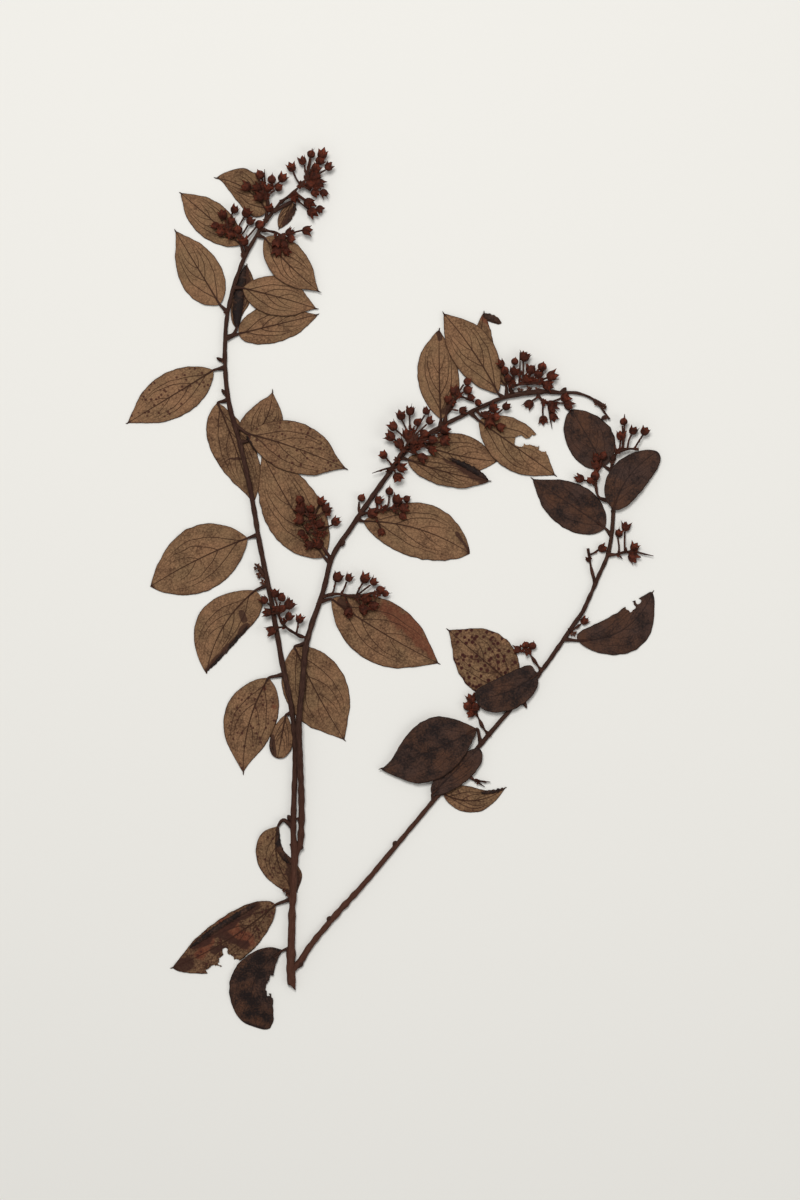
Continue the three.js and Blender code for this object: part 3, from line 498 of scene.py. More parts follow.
# Heights and widths of the ridges, and the share by which they sink into an upper side.
RIB_HEIGHT = 0.3
RIB_FADES = 0.7
RIB_WIDTH = 0.42
RIB_NARROWS = 0.6
SIDE_RIB_HEIGHT = 0.07
SIDE_RIB_WIDTH = 0.35
SUNKEN = -0.45
# A mark has its full strength up to 0.3 of its reach and ends at this many times its reach.
MARK_END = 1.3
HOLE_RAGGED = (0.12, 2.2)
HOLE_RIM = 0.6

# Widths are a half-width, the share of the length at which it is reached and how pointed that
# side is. `rise` is the height of the middle of the blade at the base, where it has settled and
# at the tip. `tone` is how light the leaf has dried, and `bow` how far its midrib bends to the
# left. The stalk passes `via`, a leaf with `up` shows its upper side, `drawn` narrows the tip,
# `horn` is the length of its horny end, and `dots` the size of its dots. `dark` and `red` marks
# and holes are lines on the leaf, from one place to another, with a reach to each side, or
# single places with a reach. A fold is a line with its bow and its half-width.
MAIN_LEAVES = [
    dict(at=(-49.6, 144.6), base=(-49.5, 148.6), tip=(-69.3, 161.7), bow=-2.8, tone=0.75,
         left=(6.8, 0.3), right=(7.2, 0.6, 1.4), rise=(1.6, 0.4, 0.25)),
    dict(at=(-58.4, 131.2), base=(-59.8, 135.5), tip=(-83.3, 155.8), tone=0.9,
         left=(7.3, 0.48, 1.5), right=(6.9, 0.46, 1.6), rise=(1.4, 0.4, 0.25)),
    dict(at=(-65, 108.5), base=(-68, 112), tip=(-85.5, 141), tone=1.0,
         left=(8.8, 0.38), right=(8.2, 0.42, 1.6), rise=(1.2, 0.3, 0.25)),
    dict(at=(-53, 139.5), base=(-50.3, 138), tip=(-29, 117), bow=-0.8, tone=0.84,
         left=(7.9, 0.42), right=(7.1, 0.45), rise=(2.1, 2.1, 2.0)),
    dict(at=(-62.5, 119), base=(-58.8, 118.2), tip=(-30, 110.3), bow=0.4, tone=0.9,
         left=(7.9, 0.45), right=(7.6, 0.42), rise=(2.4, 1.2, 1.1)),
    dict(at=(-65.4, 98), base=(-60.5, 100.4), tip=(-29.5, 108), tone=0.83,
         left=(7.8, 0.35, 1.6), right=(6.8, 0.42, 1.2), rise=(1.2, 0.25, 0.25)),
    dict(at=(-65.7, 98.6), via=(-62.8, 100), base=(-61.2, 102.8), tip=(-57.3, 127.5), tone=0.5,
         left=(3.8, 0.42, 1.2), right=(4.3, 0.64, 2.6), rise=(1.4, 0.3, 0.25),
         dark=[(-61, 108, -58, 126, 3)],
         fold=(-61.2, 103, -57.9, 127.4, 0.9, 2.1, 0.45, 0.9)),
    dict(at=(-46.6, 148.6), base=(-39.4, 152.4), tip=(-44.6, 142), tone=0.74,
         left=(2.7, 0.5, 1.2), right=(2.4, 0.55, 1.2), rise=(1.4, 0.8, 0.4),
         dark=[(-37.6, 151, -42.4, 143.5, 1.6)],
         fold=(-38.2, 151.4, -41.8, 144, 0.6, 0.8, 0.4, 0.8)),
    dict(at=(-66.1, 87.6), base=(-70.5, 86), tip=(-104.3, 65.3), tone=0.94, dots=1.0,
         left=(8.9, 0.44), right=(9, 0.47), rise=(1.2, 0.3, 0.25)),
    dict(at=(-64.2, 74.6), base=(-68.8, 73.2), tip=(-55, 33.6), bow=0.8, tone=0.68,
         left=(7.4, 0.55, 1.5), right=(9.5, 0.37, 1.9), rise=(0.5, 0.25, 0.25),
         dark=[(-70, 51, -56, 51.4, 0.5)]),
    dict(at=(-59.2, 57.6), base=(-56.2, 58.4), tip=(-47.2, 77.6), bow=-2.2, tone=0.68,
         left=(8.2, 0.32, 1.5), right=(6.9, 0.45, 1.9), rise=(1.2, 1.1, 0.3)),
    dict(at=(-61.6, 64.4), base=(-56.8, 61), tip=(-18, 47.2), bow=1, tone=0.77, dots=1.0, horn=0.6,
         left=(10, 0.45), right=(9.8, 0.46), rise=(2.5, 2.1, 1.0), drawn=0.6,
         fold=(-57.5, 60, -53.2, 53.6, 0.3, 0.7)),
    dict(at=(-53, 21.5), base=(-57, 20), tip=(-95.3, 1), bow=-1.2, tone=0.78,
         left=(12.8, 0.5), right=(12.6, 0.44), rise=(1.3, 0.4, 0.25), drawn=0),
    dict(at=(-49.6, 2), base=(-54, -0.6), tip=(-73.2, -33.3), bow=-3.6, tone=0.78,
         left=(9, 0.3, 1.8), right=(10.8, 0.5, 1.6), rise=(1.3, 0.4, 0.25), drawn=0,
         dark=[(-57, -14.6, -72.6, -32, 1.7), (-59.5, -9, -58, -12, 1.5)],
         fold=(-57, -14.6, -72.6, -32, 0.2, 0.7)),
    dict(at=(-43.4, -33.4), base=(-48.8, -35), tip=(-58.7, -72.3), bow=-2.8, tone=0.72, dots=1.0,
         left=(10.2, 0.42, 1.9), right=(10.4, 0.42, 1.5), rise=(1.3, 0.4, 0.25),
         red=[(-50.6, -39, 1.4), (-46.7, -46.1, 1.4)]),
    dict(at=(-39.6, -48.4), base=(-42, -49.6), tip=(-45.2, -66.6), tone=0.72,
         left=(4.8, 0.62, 1.2), right=(4.4, 0.6, 1.2), rise=(1.4, 1.3, 0.9), drawn=0,
         dark=[(-47.4, -58, -46.6, -65.5, 1.1)],
         fold=(-47.4, -58.6, -46.8, -65.6, -0.6, 0.7)),
    dict(at=(-39, -94), via=(-42.9, -90.8), base=(-45, -93.2), tip=(-37.4, -119.4),
         bow=-4, tone=0.58, dots=1.0, drawn=0,
         left=(7, 0.68, 4), right=(8.2, 0.28, 0.7), rise=(1.6, 0.3, 0.3),
         dark=[(-39.5, -111.4, -37, -117, 3.6), (-43, -104, -40, -109, 1.8)],
         fold=(-45.1, -93.4, -40.4, -108.4, -2, 1.25, 0.5, 0.7)),
    dict(at=(-39.4, -121.6), base=(-46, -124.2), tip=(-86.5, -149), bow=2, tone=0.38, dots=1.0,
         left=(9.4, 0.55, 1.2), right=(8.6, 0.42, 1.4), rise=(1.2, 0.4, 0.3),
         holes=[(-66, -142, -65.6, -144.6, 0.9), (-65.2, -146.8, 3.1), (-61.4, -148, 2.4),
                (-69.8, -151.2, 3.1), (-73.8, -153.6, 2)],
         dark=[(-54, -124.8, -78, -140.4, 2.4), (-81, -146.5, -86, -149, 3.4),
               (-58, -140, -68, -136, 2.2), (-66, -141, -70, -142, 2)],
         red=[(-66, -131, -58, -138, 4.4), (-72, -138, -76, -144, 2.6)],
         fold=(-54, -124.2, -80, -141.4, -0.6, 1.2)),
    dict(at=(-40, -141), base=(-43, -142), tip=(-53, -172.8), bow=-7, tone=0.35, up=True,
         left=(9.1, 0.72, 1.5), right=(9.3, 0.55, 0.4), rise=(1.6, 1.2, 0.25), drawn=0,
         holes=[(-43.1, -156.3, 6.2)]),
]
MIDDLE_LEAVES = [
    dict(at=(-24.6, 10.6), base=(-27, 12.6), tip=(-51.4, 53.6), bow=1, tone=0.76,
         left=(11.9, 0.42, 1.6), right=(11.1, 0.45, 1.6), rise=(1.3, 0.4, 1.2)),
    dict(at=(-33.7, -20.6), base=(-38.6, -22.8), tip=(-19, -59.3), bow=-0.8, tone=0.74,
         left=(12.6, 0.44, 1.6), right=(12.2, 0.44, 1.6), rise=(0.6, 0.25, 0.25)),
    dict(at=(18.8, 63.8), base=(19, 67), tip=(18.4, 102), bow=0.3, tone=0.88,
         left=(8.6, 0.52, 1.5), right=(7.8, 0.42, 1.5), rise=(1.2, 0.3, 0.25),
         dark=[(18.5, 102, 18.6, 98.6, 1.3), (21, 70, 24, 73.5, 1.8)]),
    dict(at=(43.5, 75.4), base=(41.5, 76.9), tip=(20.2, 108.3), bow=-1.2, tone=0.86,
         left=(8.8, 0.5), right=(8.4, 0.5), rise=(2.0, 1.3, 1.1)),
    dict(at=(44.8, 75.8), base=(44.6, 80), tip=(36, 108.8), bow=4.4, tone=0.72,
         left=(3.6, 0.5, 1.2), right=(4.6, 0.5, 1.2), rise=(1.2, 0.3, 0.25),
         red=[(36, 107, 41, 103, 2.4)],
         fold=(35.8, 107.8, 42.8, 104.6, 0.2, 1.5)),
    dict(at=(10, 58.6), base=(13.5, 56), tip=(41.1, 50.3), bow=-0.9, tone=0.74,
         left=(8.6, 0.45, 1.5), right=(6.5, 0.5, 1.5), rise=(0.7, 0.28, 0.25)),
    dict(at=(3, 51.8), base=(6, 51), tip=(38, 42.5), bow=-1, tone=0.71,
         left=(4.8, 0.4, 1.2), right=(5.5, 0.45, 1.2), rise=(1.5, 1.2, 1.1),
         dark=[(14.3, 55.2, 22.6, 51.8, 2.2), (22.6, 51.8, 27.6, 48.3, 3), (27.6, 48.3, 37.9, 42.2, 3.4)],
         fold=(22, 51.5, 37.6, 43, 0.6, 1.2, 0.6, 0.9)),
    dict(at=(30.2, 69.6), base=(34, 66.2), tip=(64, 44.8), tone=0.86,
         left=(9.6, 0.43), right=(9.1, 0.48), rise=(1.5, 1.2, 0.4),
         holes=[(50.2, 58.2, 2.2), (52.6, 58, 57, 58.4, 1.2), (56.4, 58.4, 2.4), (59.6, 56.2, 2.2),
                (62.6, 54, 2.2)]),
    dict(at=(-14.6, 27.6), base=(-11.5, 26.7), tip=(30.4, 14), bow=3.3, tone=0.83,
         left=(10.6, 0.55, 1.6), right=(11.2, 0.5), rise=(1.3, 0.4, 0.25), drawn=0,
         dark=[(25.4, 22, 30.6, 14.2, 1.1)],
         holes=[(11.3, 13, 12, 17, 0.3)]),
    dict(at=(-28.6, -5.4), base=(-24, -4), tip=(18, -29.2), bow=-1, tone=0.71,
         left=(12.3, 0.48), right=(12.3, 0.47), rise=(1.3, 0.4, 0.25),
         dark=[(-20, -5, -17, -8, 2)], red=[(-2, -8, 9, -17, 5), (7, -17.5, 16, -25.5, 3.2)]),
]
RIGHT_LEAVES = [
    dict(at=(52, -40.3), base=(49.2, -39.3), tip=(22, -16.2), tone=0.64, dots=1.4,
         left=(11.8, 0.4), right=(12, 0.46), rise=(1.1, 0.3, 0.25),
         red=[(44, -40, 48.6, -36, 3)]),
    dict(at=(58.4, -33), base=(56.6, -33.6), tip=(32.6, -43), bow=2.2, tone=0.5, up=True,
         left=(7.2, 0.55, 0.6), right=(6.6, 0.38, 0.6), rise=(2.6, 2.8, 3.6), drawn=0),
    dict(at=(34.6, -61.2), base=(33.3, -54.9), tip=(-4.6, -70.6), bow=1.2, tone=0.55, up=True,
         left=(11.2, 0.55), right=(12.3, 0.42, 2.6), rise=(2.4, 4.0, 2.2)),
    dict(at=(16, -82.8), base=(15.6, -80.6), tip=(34, -62.4), tone=0.6, up=True,
         left=(4.2, 0.4, 1.2), right=(5.9, 0.6, 1), rise=(2.2, 2.5, 2.5), drawn=0),
    dict(at=(17.8, -80.9), base=(20, -80.6), tip=(44.3, -78.3), bow=-3.8, tone=0.7, dots=0.8,
         left=(6, 0.32, 2.4), right=(4.7, 0.4, 1.2), rise=(1, 0.3, 0.25),
         fold=(35, -80.2, 44, -78.5, -0.4, 0.8)),
    dict(at=(86.3, 46.5), base=(83.4, 48.3), tip=(70.5, 70.7), tone=0.7, up=True,
         left=(8.8, 0.45, 1), right=(9.6, 0.42, 1.4), rise=(0.9, 0.25, 0.25), drawn=0),
    dict(at=(86.8, 30.6), base=(86.9, 31.4), tip=(104.2, 54), bow=3, tone=0.7, up=True,
         left=(7.4, 0.38, 0.9), right=(7.4, 0.52, 1.1), rise=(2.8, 2.9, 1.4), drawn=0),
    dict(at=(86, 21), base=(83.6, 24), tip=(55.2, 43.3), tone=0.62, up=True,
         left=(9, 0.43, 1.4), right=(9, 0.4), rise=(0.9, 0.3, 0.25)),
    dict(at=(68, -20.2), base=(73, -20.3), tip=(102.3, -1.4), bow=-6, tone=0.72, up=True,
         left=(7, 0.45, 1), right=(9.3, 0.52, 1), rise=(1.1, 0.5, 0.25),
         holes=[(93.6, -6.8, 1.9), (96.6, -4.8, 1.1), (91.6, -5.4, 1.6)]),
]


def half_width(side, s, drawn):
    """Half-width at a share s of the length: the width times (s / widest) to the power widest
    and ((1 - s) / (1 - widest)) to the power 1 - widest, both to the power of the point. Where
    the leaf is drawn out it is narrowed evenly, at the tip by the share drawn."""
    width, widest, point = (*side, LEAF_POINT)[:3]
    shape = (s / widest) ** widest * ((1 - s) / (1 - widest)) ** (1 - widest)
    narrowed = 1 - drawn * np.clip((s - DRAWN_FROM) / (1 - DRAWN_FROM), 0, 1)
    return np.maximum(width * shape**point * narrowed, LEAF_TIP_WIDTH)


def level_of(rise, s):
    """Height of the blade's middle: a parabola from the base to where it has settled, and then a
    straight line to the tip."""
    base, settled, tip = rise
    near = settled + (base - settled) * (1 - s / LEAF_SETTLED) ** 2
    far = settled + (tip - settled) * (s - LEAF_SETTLED) / (1 - LEAF_SETTLED)
    return np.where(s < LEAF_SETTLED, near, far)


def midrib_of(leaf, s):
    """Places on the midrib, seen from above: the straight run, bowed to the left by a parabola.
    Gives them with the run's length and the direction to its left."""
    base, tip = np.array(leaf["base"]), np.array(leaf["tip"])
    run = tip - base
    left = unit(np.array([-run[1], run[0]]))
    bowed = leaf.get("bow", 0) * 4 * s * (1 - s)
    return base + run * s[..., None] + left * bowed[..., None], np.linalg.norm(run), left


def off_line(points, line):
    """How far each point lies from a line seen from above, and the direction away from it."""
    start, end = np.array(line[:2]), np.array(line[-3:-1])
    run = end - start
    share = np.clip((points[:, :2] - start) @ run / max(run @ run, 1e-9), 0, 1)
    away = points[:, :2] - start - share[:, None] * run
    return np.linalg.norm(away, axis=1), unit(away)


def spread_of(points, lines):
    """How strongly marks along lines colour each point, from 1 on a line down to 0."""
    amount = np.zeros(len(points))
    for line in lines:
        distance = off_line(points, line)[0]
        amount = np.maximum(amount, np.clip(MARK_END - distance / line[-1], 0, 1))
    return amount


def waves(places, form, seed):
    """An uneven swell of a given depth and length."""
    depth, length = form
    return depth * ripple(places, length, seed)


def grid_faces(shape):
    """The four-sided faces of a grid of points, numbered row by row."""
    ids = np.arange(shape[0] * shape[1]).reshape(shape)
    return np.stack([ids[:-1, :-1], ids[:-1, 1:], ids[1:, 1:], ids[1:, :-1]], -1).reshape(-1, 4)


def blade_of(leaf, seed):
    """The blade on a grid of shares along and across. A point lies its half-width times its
    share across from the midrib, and its height is the blade's level plus the swell of the dry
    blade, plus the midrib's and the side veins' ridges, each a bell across its line."""
    t = np.linspace(0, 1, LEAF_ROWS + 1)
    u = np.linspace(-1, 1, LEAF_COLUMNS + 1)
    spread = u * (COLUMN_SPREAD + (1 - COLUMN_SPREAD) * np.abs(u))
    s, v = np.meshgrid((1 - np.cos(math.pi * t)) / 2, spread, indexing="ij")
    spots, length, left = midrib_of(leaf, s)
    drawn = leaf.get("drawn", DRAWN)
    half = np.where(v < 0, half_width(leaf["left"], s, drawn), half_width(leaf["right"], s, drawn))
    edge_run = columns(s * length, np.where(v < 0, 0.0, OTHER_MARGIN))
    taper = np.minimum(half / FULL_WAVES, 1)
    half = half + taper * (waves(edge_run, MARGIN_WAVE, seed) + waves(edge_run, MARGIN_NICK, seed + 1))
    across = v * half
    spots = spots - left * across[..., None]

    fields = []
    for number, (leaves_at, reach, soon) in enumerate(SIDE_VEINS):
        draw = np.random.default_rng(seed + 2 + number)
        start = leaves_at + draw.uniform(-VEIN_START, VEIN_START)
        start = start + np.where(v < 0, 0.0, draw.uniform(-VEIN_OFFSET, VEIN_OFFSET))
        start = np.where(v == 0, leaves_at, start)
        fade = np.exp(-(s - start) / soon)
        line = reach * (1 - fade) * half
        lean = reach * fade / soon * half / length
        drift = waves(edge_run, VEIN_DRIFT, seed + 5 + number) * np.abs(v)
        fields.append((np.abs(across) - line + drift) / np.sqrt(1 + lean**2))
    veins = np.stack(fields, -1)

    stand = SUNKEN if leaf.get("up") else 1.0
    rib_width = RIB_WIDTH * (1 - RIB_NARROWS * s)
    rib = RIB_HEIGHT * (1 - s) ** RIB_FADES * np.exp(-(across / rib_width) ** 2)
    to_vein = np.abs(veins).min(-1) / SIDE_RIB_WIDTH
    side_rib = SIDE_RIB_HEIGHT * np.exp(-to_vein**2) * np.clip(2 * (1 - s), 0, 1)
    swell = waves(spots, BLADE_SWELL, seed + 9) * np.abs(v) + waves(spots, BLADE_DENT, seed + 10)
    height = level_of(leaf["rise"], s) + LEAF_THICKNESS / 2 + stand * (rib + side_rib)
    height = np.maximum(height + swell * taper, LEAF_LEAST_TOP)
    points = np.concatenate([spots, height[..., None]], -1).reshape(-1, 3)

    quads = grid_faces(s.shape)
    for line in leaf.get("holes", []):
        distance, away = off_line(points, line)
        radius = line[-1] * (1 + waves(points[:, :2], HOLE_RAGGED, seed + 11))
        near = (distance < radius) & (distance > radius - HOLE_RIM)
        points[near, :2] += away[near] * (radius - distance)[near, None]
        inside = distance <= radius - HOLE_RIM
        on_rim = distance < radius
        gone = inside[quads].any(1) | on_rim[quads].all(1)
        quads = quads[~gone]

    place = columns(s, across, half * (1 - np.abs(v))).reshape(-1, 3)
    dark, red = (spread_of(points, leaf.get(kind, [])) for kind in ("dark", "red"))
    marks = columns(dark, red, leaf.get("dots", DOTS))
    cast = columns(s * length, leaf["tone"], seed).reshape(-1, 3)
    up, down = (1, 0) if leaf.get("up") else (0, 1)
    return shell(points, quads, LEAF_THICKNESS, up, down, place=place, veins=veins.reshape(-1, 3),
                 marks=marks, cast=cast)


# Where a fold is widest and how pointed it is, unless its row says so.
FOLD_FORM = (0.5, 0.8)
FOLD_GRID = (61, 13)
FOLD_HEIGHT = 0.5
FOLD_LIFT = 0.08
FOLD_THICKNESS = 0.2
FOLD_WAVE = (0.14, 1.7)
OTHER_FOLD_EDGE = 30
FOLD_TONE = 0.3
# A fold shows no midrib, no veins and no rim, so it is given places far from them.
FOLD_PLACE = (0.5, 6.0, 3.0)
FAR_FROM_VEINS = 9.0


def fold_of(leaf, seed):
    """A margin that has folded over, the other side up: a narrow blade whose height is a
    parabola across it, with an uneven edge."""
    x, y, tip_x, tip_y, bow, *side = leaf["fold"]
    strip = dict(base=(x, y), tip=(tip_x, tip_y), bow=bow)
    rows, across_it = FOLD_GRID
    s, v = np.meshgrid(np.linspace(0, 1, rows), np.linspace(-1, 1, across_it), indexing="ij")
    spots, length, left = midrib_of(strip, s)
    half = half_width((*side, *FOLD_FORM)[:3], s, DRAWN)
    half = half + waves(columns(s * length, np.sign(v) * OTHER_FOLD_EDGE), FOLD_WAVE, seed)
    spots = spots - left * (v * half)[..., None]
    height = level_of(leaf["rise"], s) + LEAF_THICKNESS / 2 + FOLD_LIFT
    height = height + FOLD_HEIGHT * (1 - v**2) * np.minimum(half, 1)
    points = np.concatenate([spots, height[..., None]], -1).reshape(-1, 3)
    place = np.tile(FOLD_PLACE, (s.size, 1))
    veins = np.full((s.size, 3), FAR_FROM_VEINS)
    cast = columns(s * length, FOLD_TONE, seed).reshape(-1, 3)
    return shell(points, grid_faces(s.shape), FOLD_THICKNESS, 1, 0, place=place, veins=veins, cast=cast)


# Radii of a stalk from the stem to where it ends on the midrib, at these shares of the blade.
STALK_RADII = (1.0, 0.75, 0.5, 0.42, 0.22)
STALK_SHARES = (0.0, 0.05, 0.12)
STALK_BEND = 0.45
STALK_LIFT = 0.1
STALK_STEP = 0.35
STALK_SIDES = 12
STALK_WRINKLE = 0.06
STALK_SEED = 7


def stalk_of(leaf, path):
    """A tube from the middle of the stem, wide where it leaves the bark, to a little way up the
    midrib."""
    foot = path[nearest(path, *leaf["at"])][:3]
    shares = np.array(STALK_SHARES)
    heights = level_of(leaf["rise"], shares) + STALK_LIFT
    on_midrib = np.column_stack([midrib_of(leaf, shares)[0], heights])
    bend = foot + (on_midrib[0] - foot) * STALK_BEND
    bend[:2] = leaf.get("via", bend[:2])
    rows = np.column_stack([[foot, bend, *on_midrib], STALK_RADII])
    return limb(rows, STALK_STEP, STALK_SIDES, STALK_SEED, STALK_WRINKLE, finish=2)


# Where a horny tip starts on the midrib, its radii there and at the leaf's end, the shares of
# its length and the radii beyond, and between which limits its hook and its length are drawn.
HORN_START = 0.985
HORN_RADII = (0.3, 0.26)
HORN_ROWS = ((0.5, 0.2), (1, 0.05))
HORN_HOOK = (-0.4, 0.4)
HORN_LENGTHS = (0.7, 1.2)
HORN_HEIGHT = 0.35
HORN_STEP = 0.25
HORN_SIDES = 7


def horn_of(leaf, draw):
    """The horny tip: a thin pointed tube that runs on from the end of the midrib and hooks to
    one side."""
    ends = midrib_of(leaf, np.array([HORN_START, 1.0]))[0]
    ahead = unit(ends[1] - ends[0])
    aside = np.array([-ahead[1], ahead[0]]) * draw.uniform(*HORN_HOOK)
    length = leaf.get("horn", draw.uniform(*HORN_LENGTHS))
    height = max(leaf["rise"][2], HORN_HEIGHT)
    rows = [(*spot, height, radius) for spot, radius in zip(ends, HORN_RADII)]
    for share, radius in HORN_ROWS:
        rows.append((*(ends[1] + (ahead * share + aside * share**2) * length), height, radius))
    return limb(rows, HORN_STEP, HORN_SIDES, finish=2)


# Between which distances in millimetres, or shares, each part of a blade's look fades out, or
# in for the tip, the picked dots and the two kinds of marks.
MIDRIB_FADES = (0.22, 0.5)
VEIN_FADES = (0.1, 0.34)
VEINS_END = (0.55, 0.95)
THREAD_FADES = (0.02, 0.13)
# The rim's dark line is painted shade of the curled-up margin.
RIM_SHADE_FADES = (0.12, 0.45)
TIP_STARTS = (0.955, 0.985)
OUTER_FADES = (0.3, 2.2)
DOT_FADES = (0.2, 0.44)
DOTS_PICKED = (0.4, 0.55)
RED_STARTS = (0.25, 0.8)
STAIN_STARTS = (0.35, 0.7)
# How many cells a millimetre holds, and how strongly the threads between them show.
THREADS = ((0.75, 1.0), (1.9, 0.7))
DOT_CELLS = 0.62
# The network is stretched along the leaf, and each leaf takes it from another place.
THREAD_STRETCH = 0.6
THREAD_SEED = 3.7
VEINS_NARROW = 0.65
# How strongly the grain lightens and darkens a side, and the patches fray the marks.
SPECKLES = 0.74
RAGGED = 0.7

# The figure of a blade, from its fields: midrib, side veins, the fine network between them, the
# painted shade along the rim, where the margin curls up, and the horny tip.
figure_group, taken, given = new_group(
    "leaf figure", "NodeSocketVector", ("Place", "Veins", "Cast"),
    ("Midrib", "Side veins", "Network", "Rim shade", "Tip"))
tree = figure_group
share, across, margin = lay(tree, "ShaderNodeSeparateXYZ", {0: taken["Place"]}).outputs
run, _, seed = lay(tree, "ShaderNodeSeparateXYZ", {0: taken["Cast"]}).outputs
narrower = reckon(tree, "SUBTRACT", 1.0, times(tree, share, VEINS_NARROW))
to_midrib = reckon(tree, "DIVIDE", reckon(tree, "ABSOLUTE", across), narrower)
veins = lay(tree, "ShaderNodeSeparateXYZ", {0: taken["Veins"]}).outputs
first, second, third = (reckon(tree, "ABSOLUTE", vein) for vein in veins)
to_vein = reckon(tree, "MINIMUM", reckon(tree, "MINIMUM", first, second), third)
to_vein = reckon(tree, "DIVIDE", to_vein, narrower)
side_veins = times(tree, fading(tree, to_vein, *VEIN_FADES), fading(tree, share, *VEINS_END))
spot = {0: times(tree, run, THREAD_STRETCH), 1: across, 2: times(tree, seed, THREAD_SEED)}
spot = lay(tree, "ShaderNodeCombineXYZ", spot).outputs[0]
threads = []
for scale, strength in THREADS:
    sockets = {"Vector": spot, "Scale": scale}
    cells = lay(tree, "ShaderNodeTexVoronoi", sockets, feature="DISTANCE_TO_EDGE").outputs
    threads.append(times(tree, fading(tree, cells["Distance"], *THREAD_FADES), strength))
tree.links.new(fading(tree, to_midrib, *MIDRIB_FADES), given["Midrib"])
tree.links.new(side_veins, given["Side veins"])
tree.links.new(reckon(tree, "MAXIMUM", *threads), given["Network"])
# The rim's share is painted shade of the curled-up margin.
tree.links.new(fading(tree, margin, *RIM_SHADE_FADES), given["Rim shade"])
tree.links.new(ramp(tree, share, *TIP_STARTS), given["Tip"])


def leaf_finish(name, roughness, screen_colours, strengths, relief, mottling):
    """A side of the leaf. The colours are those of a dark and of a light leaf, of olive clouds,
    of the outer part, of veins, marks and dots. `strengths` say how much each part of the figure
    shows. All are laid over one another, each by its own share."""
    colours = {part: linear(*screen) for part, screen in screen_colours.items()}
    material, tree, shader = finish_of(name, roughness)
    _, across, margin, place = field(tree, "place")
    dark_mark, red_mark, dotted, _ = field(tree, "marks")
    run, tone, seed, cast = field(tree, "cast")
    sockets = {"Place": place, "Veins": field(tree, "veins")[3], "Cast": cast}
    figure = lay(tree, "ShaderNodeGroup", sockets, node_tree=figure_group).outputs
    shown = {part: times(tree, figure[part], strength) for part, strength in strengths.items()}

    clouds, _ = dry(tree, 75.0, 800.0)
    patches, grain = dry(tree, 190.0, 1400.0)
    patchy = reckon(tree, "SUBTRACT", patches, 0.5)
    speckled = reckon(tree, "SUBTRACT", grain, 0.5)
    lightness = plus(tree, tone, times(tree, patchy, mottling))
    lightness = plus(tree, lightness, times(tree, speckled, SPECKLES))
    fair = tint(tree, clouds, colours["light"], colours["olive"])
    colour = tint(tree, lightness, colours["dark"], fair)

    spot = lay(tree, "ShaderNodeCombineXYZ", {0: run, 1: across, 2: seed}).outputs[0]
    sockets = {"Vector": spot, "Scale": DOT_CELLS}
    cells = lay(tree, "ShaderNodeTexVoronoi", sockets, feature="F1").outputs
    dot = fading(tree, reckon(tree, "DIVIDE", cells["Distance"], dotted), *DOT_FADES)
    chance = lay(tree, "ShaderNodeSeparateColor", {0: cells["Color"]}).outputs[0]
    spotted = times(tree, times(tree, dot, ramp(tree, chance, *DOTS_PICKED)), dotted)
    uneven = times(tree, patchy, RAGGED)
    reddened = ramp(tree, plus(tree, red_mark, uneven), *RED_STARTS, last=0.7)
    stained = ramp(tree, plus(tree, dark_mark, uneven), *STAIN_STARTS, last=0.85)
    # The rim's share lays the vein colour on as painted shade of the curled-up margin.
    for share, part in (
            (fading(tree, margin, *OUTER_FADES, most=0.3), "outer"), (reddened, "red"),
            (shown["Network"], "vein"), (shown["Side veins"], "vein"),
            (times(tree, spotted, 0.85), "dot"), (stained, "stain"),
            (shown["Midrib"], "vein"), (shown["Rim shade"], "vein"), (shown["Tip"], "vein")):
        colour = tint(tree, share, colour, colours[part])

    height = plus(tree, times(tree, figure["Network"], relief), times(tree, grain, 0.4))
    height = plus(tree, height, times(tree, figure["Side veins"], relief))
    set_finish(tree, shader, colour, height, 0.00008)
    return material


underside = leaf_finish(
    "leaf underside", 0.85,
    {"dark": (62, 40, 29), "light": (148, 111, 81), "olive": (137, 108, 78), "outer": (118, 84, 60),
     "red": (110, 57, 40), "vein": (54, 33, 24), "dot": (62, 32, 27), "stain": (56, 34, 28)},
    {"Midrib": 0.9, "Side veins": 0.85, "Network": 0.4, "Rim shade": 0.8, "Tip": 0.9}, 0.6, 0.52)
upper_side = leaf_finish(
    "leaf upper side", 0.6,
    {"dark": (29, 21, 19), "light": (72, 52, 44), "olive": (86, 56, 39), "outer": (62, 42, 33),
     "red": (70, 42, 34), "vein": (34, 22, 19), "dot": (44, 29, 24), "stain": (36, 24, 20)},
    {"Midrib": 0.7, "Side veins": 0.45, "Network": 0.35, "Rim shade": 0.8, "Tip": 0.9}, -0.6, 0.95)

leaf_groups = {"main": MAIN_LEAVES, "middle": MIDDLE_LEAVES, "right": RIGHT_LEAVES}


def bearing_path(group, x, y):
    """The path, among those of a group's stems, that passes nearest to a place."""
    paths = [path for name, path in stem_paths.items() if name.startswith(group)]
    return min(paths, key=lambda path: np.hypot(path[:, 0] - x, path[:, 1] - y).min())


for group_number, (group, leaves) in enumerate(leaf_groups.items()):
    for number, leaf in enumerate(leaves, start=1):
        seed = 1000 * (group_number + 1) + 20 * number
        parts = [blade_of(leaf, seed), stalk_of(leaf, bearing_path(group, *leaf["at"]))]
        if "fold" in leaf:
            parts.append(fold_of(leaf, seed + 15))
        if leaf.get("drawn", DRAWN):
            parts.append(horn_of(leaf, np.random.default_rng(seed + 16)))
        node = f"{group}_leaf_{number:02d}"
        make_piece("dried_" + node, parts, [underside, upper_side, bark], node)

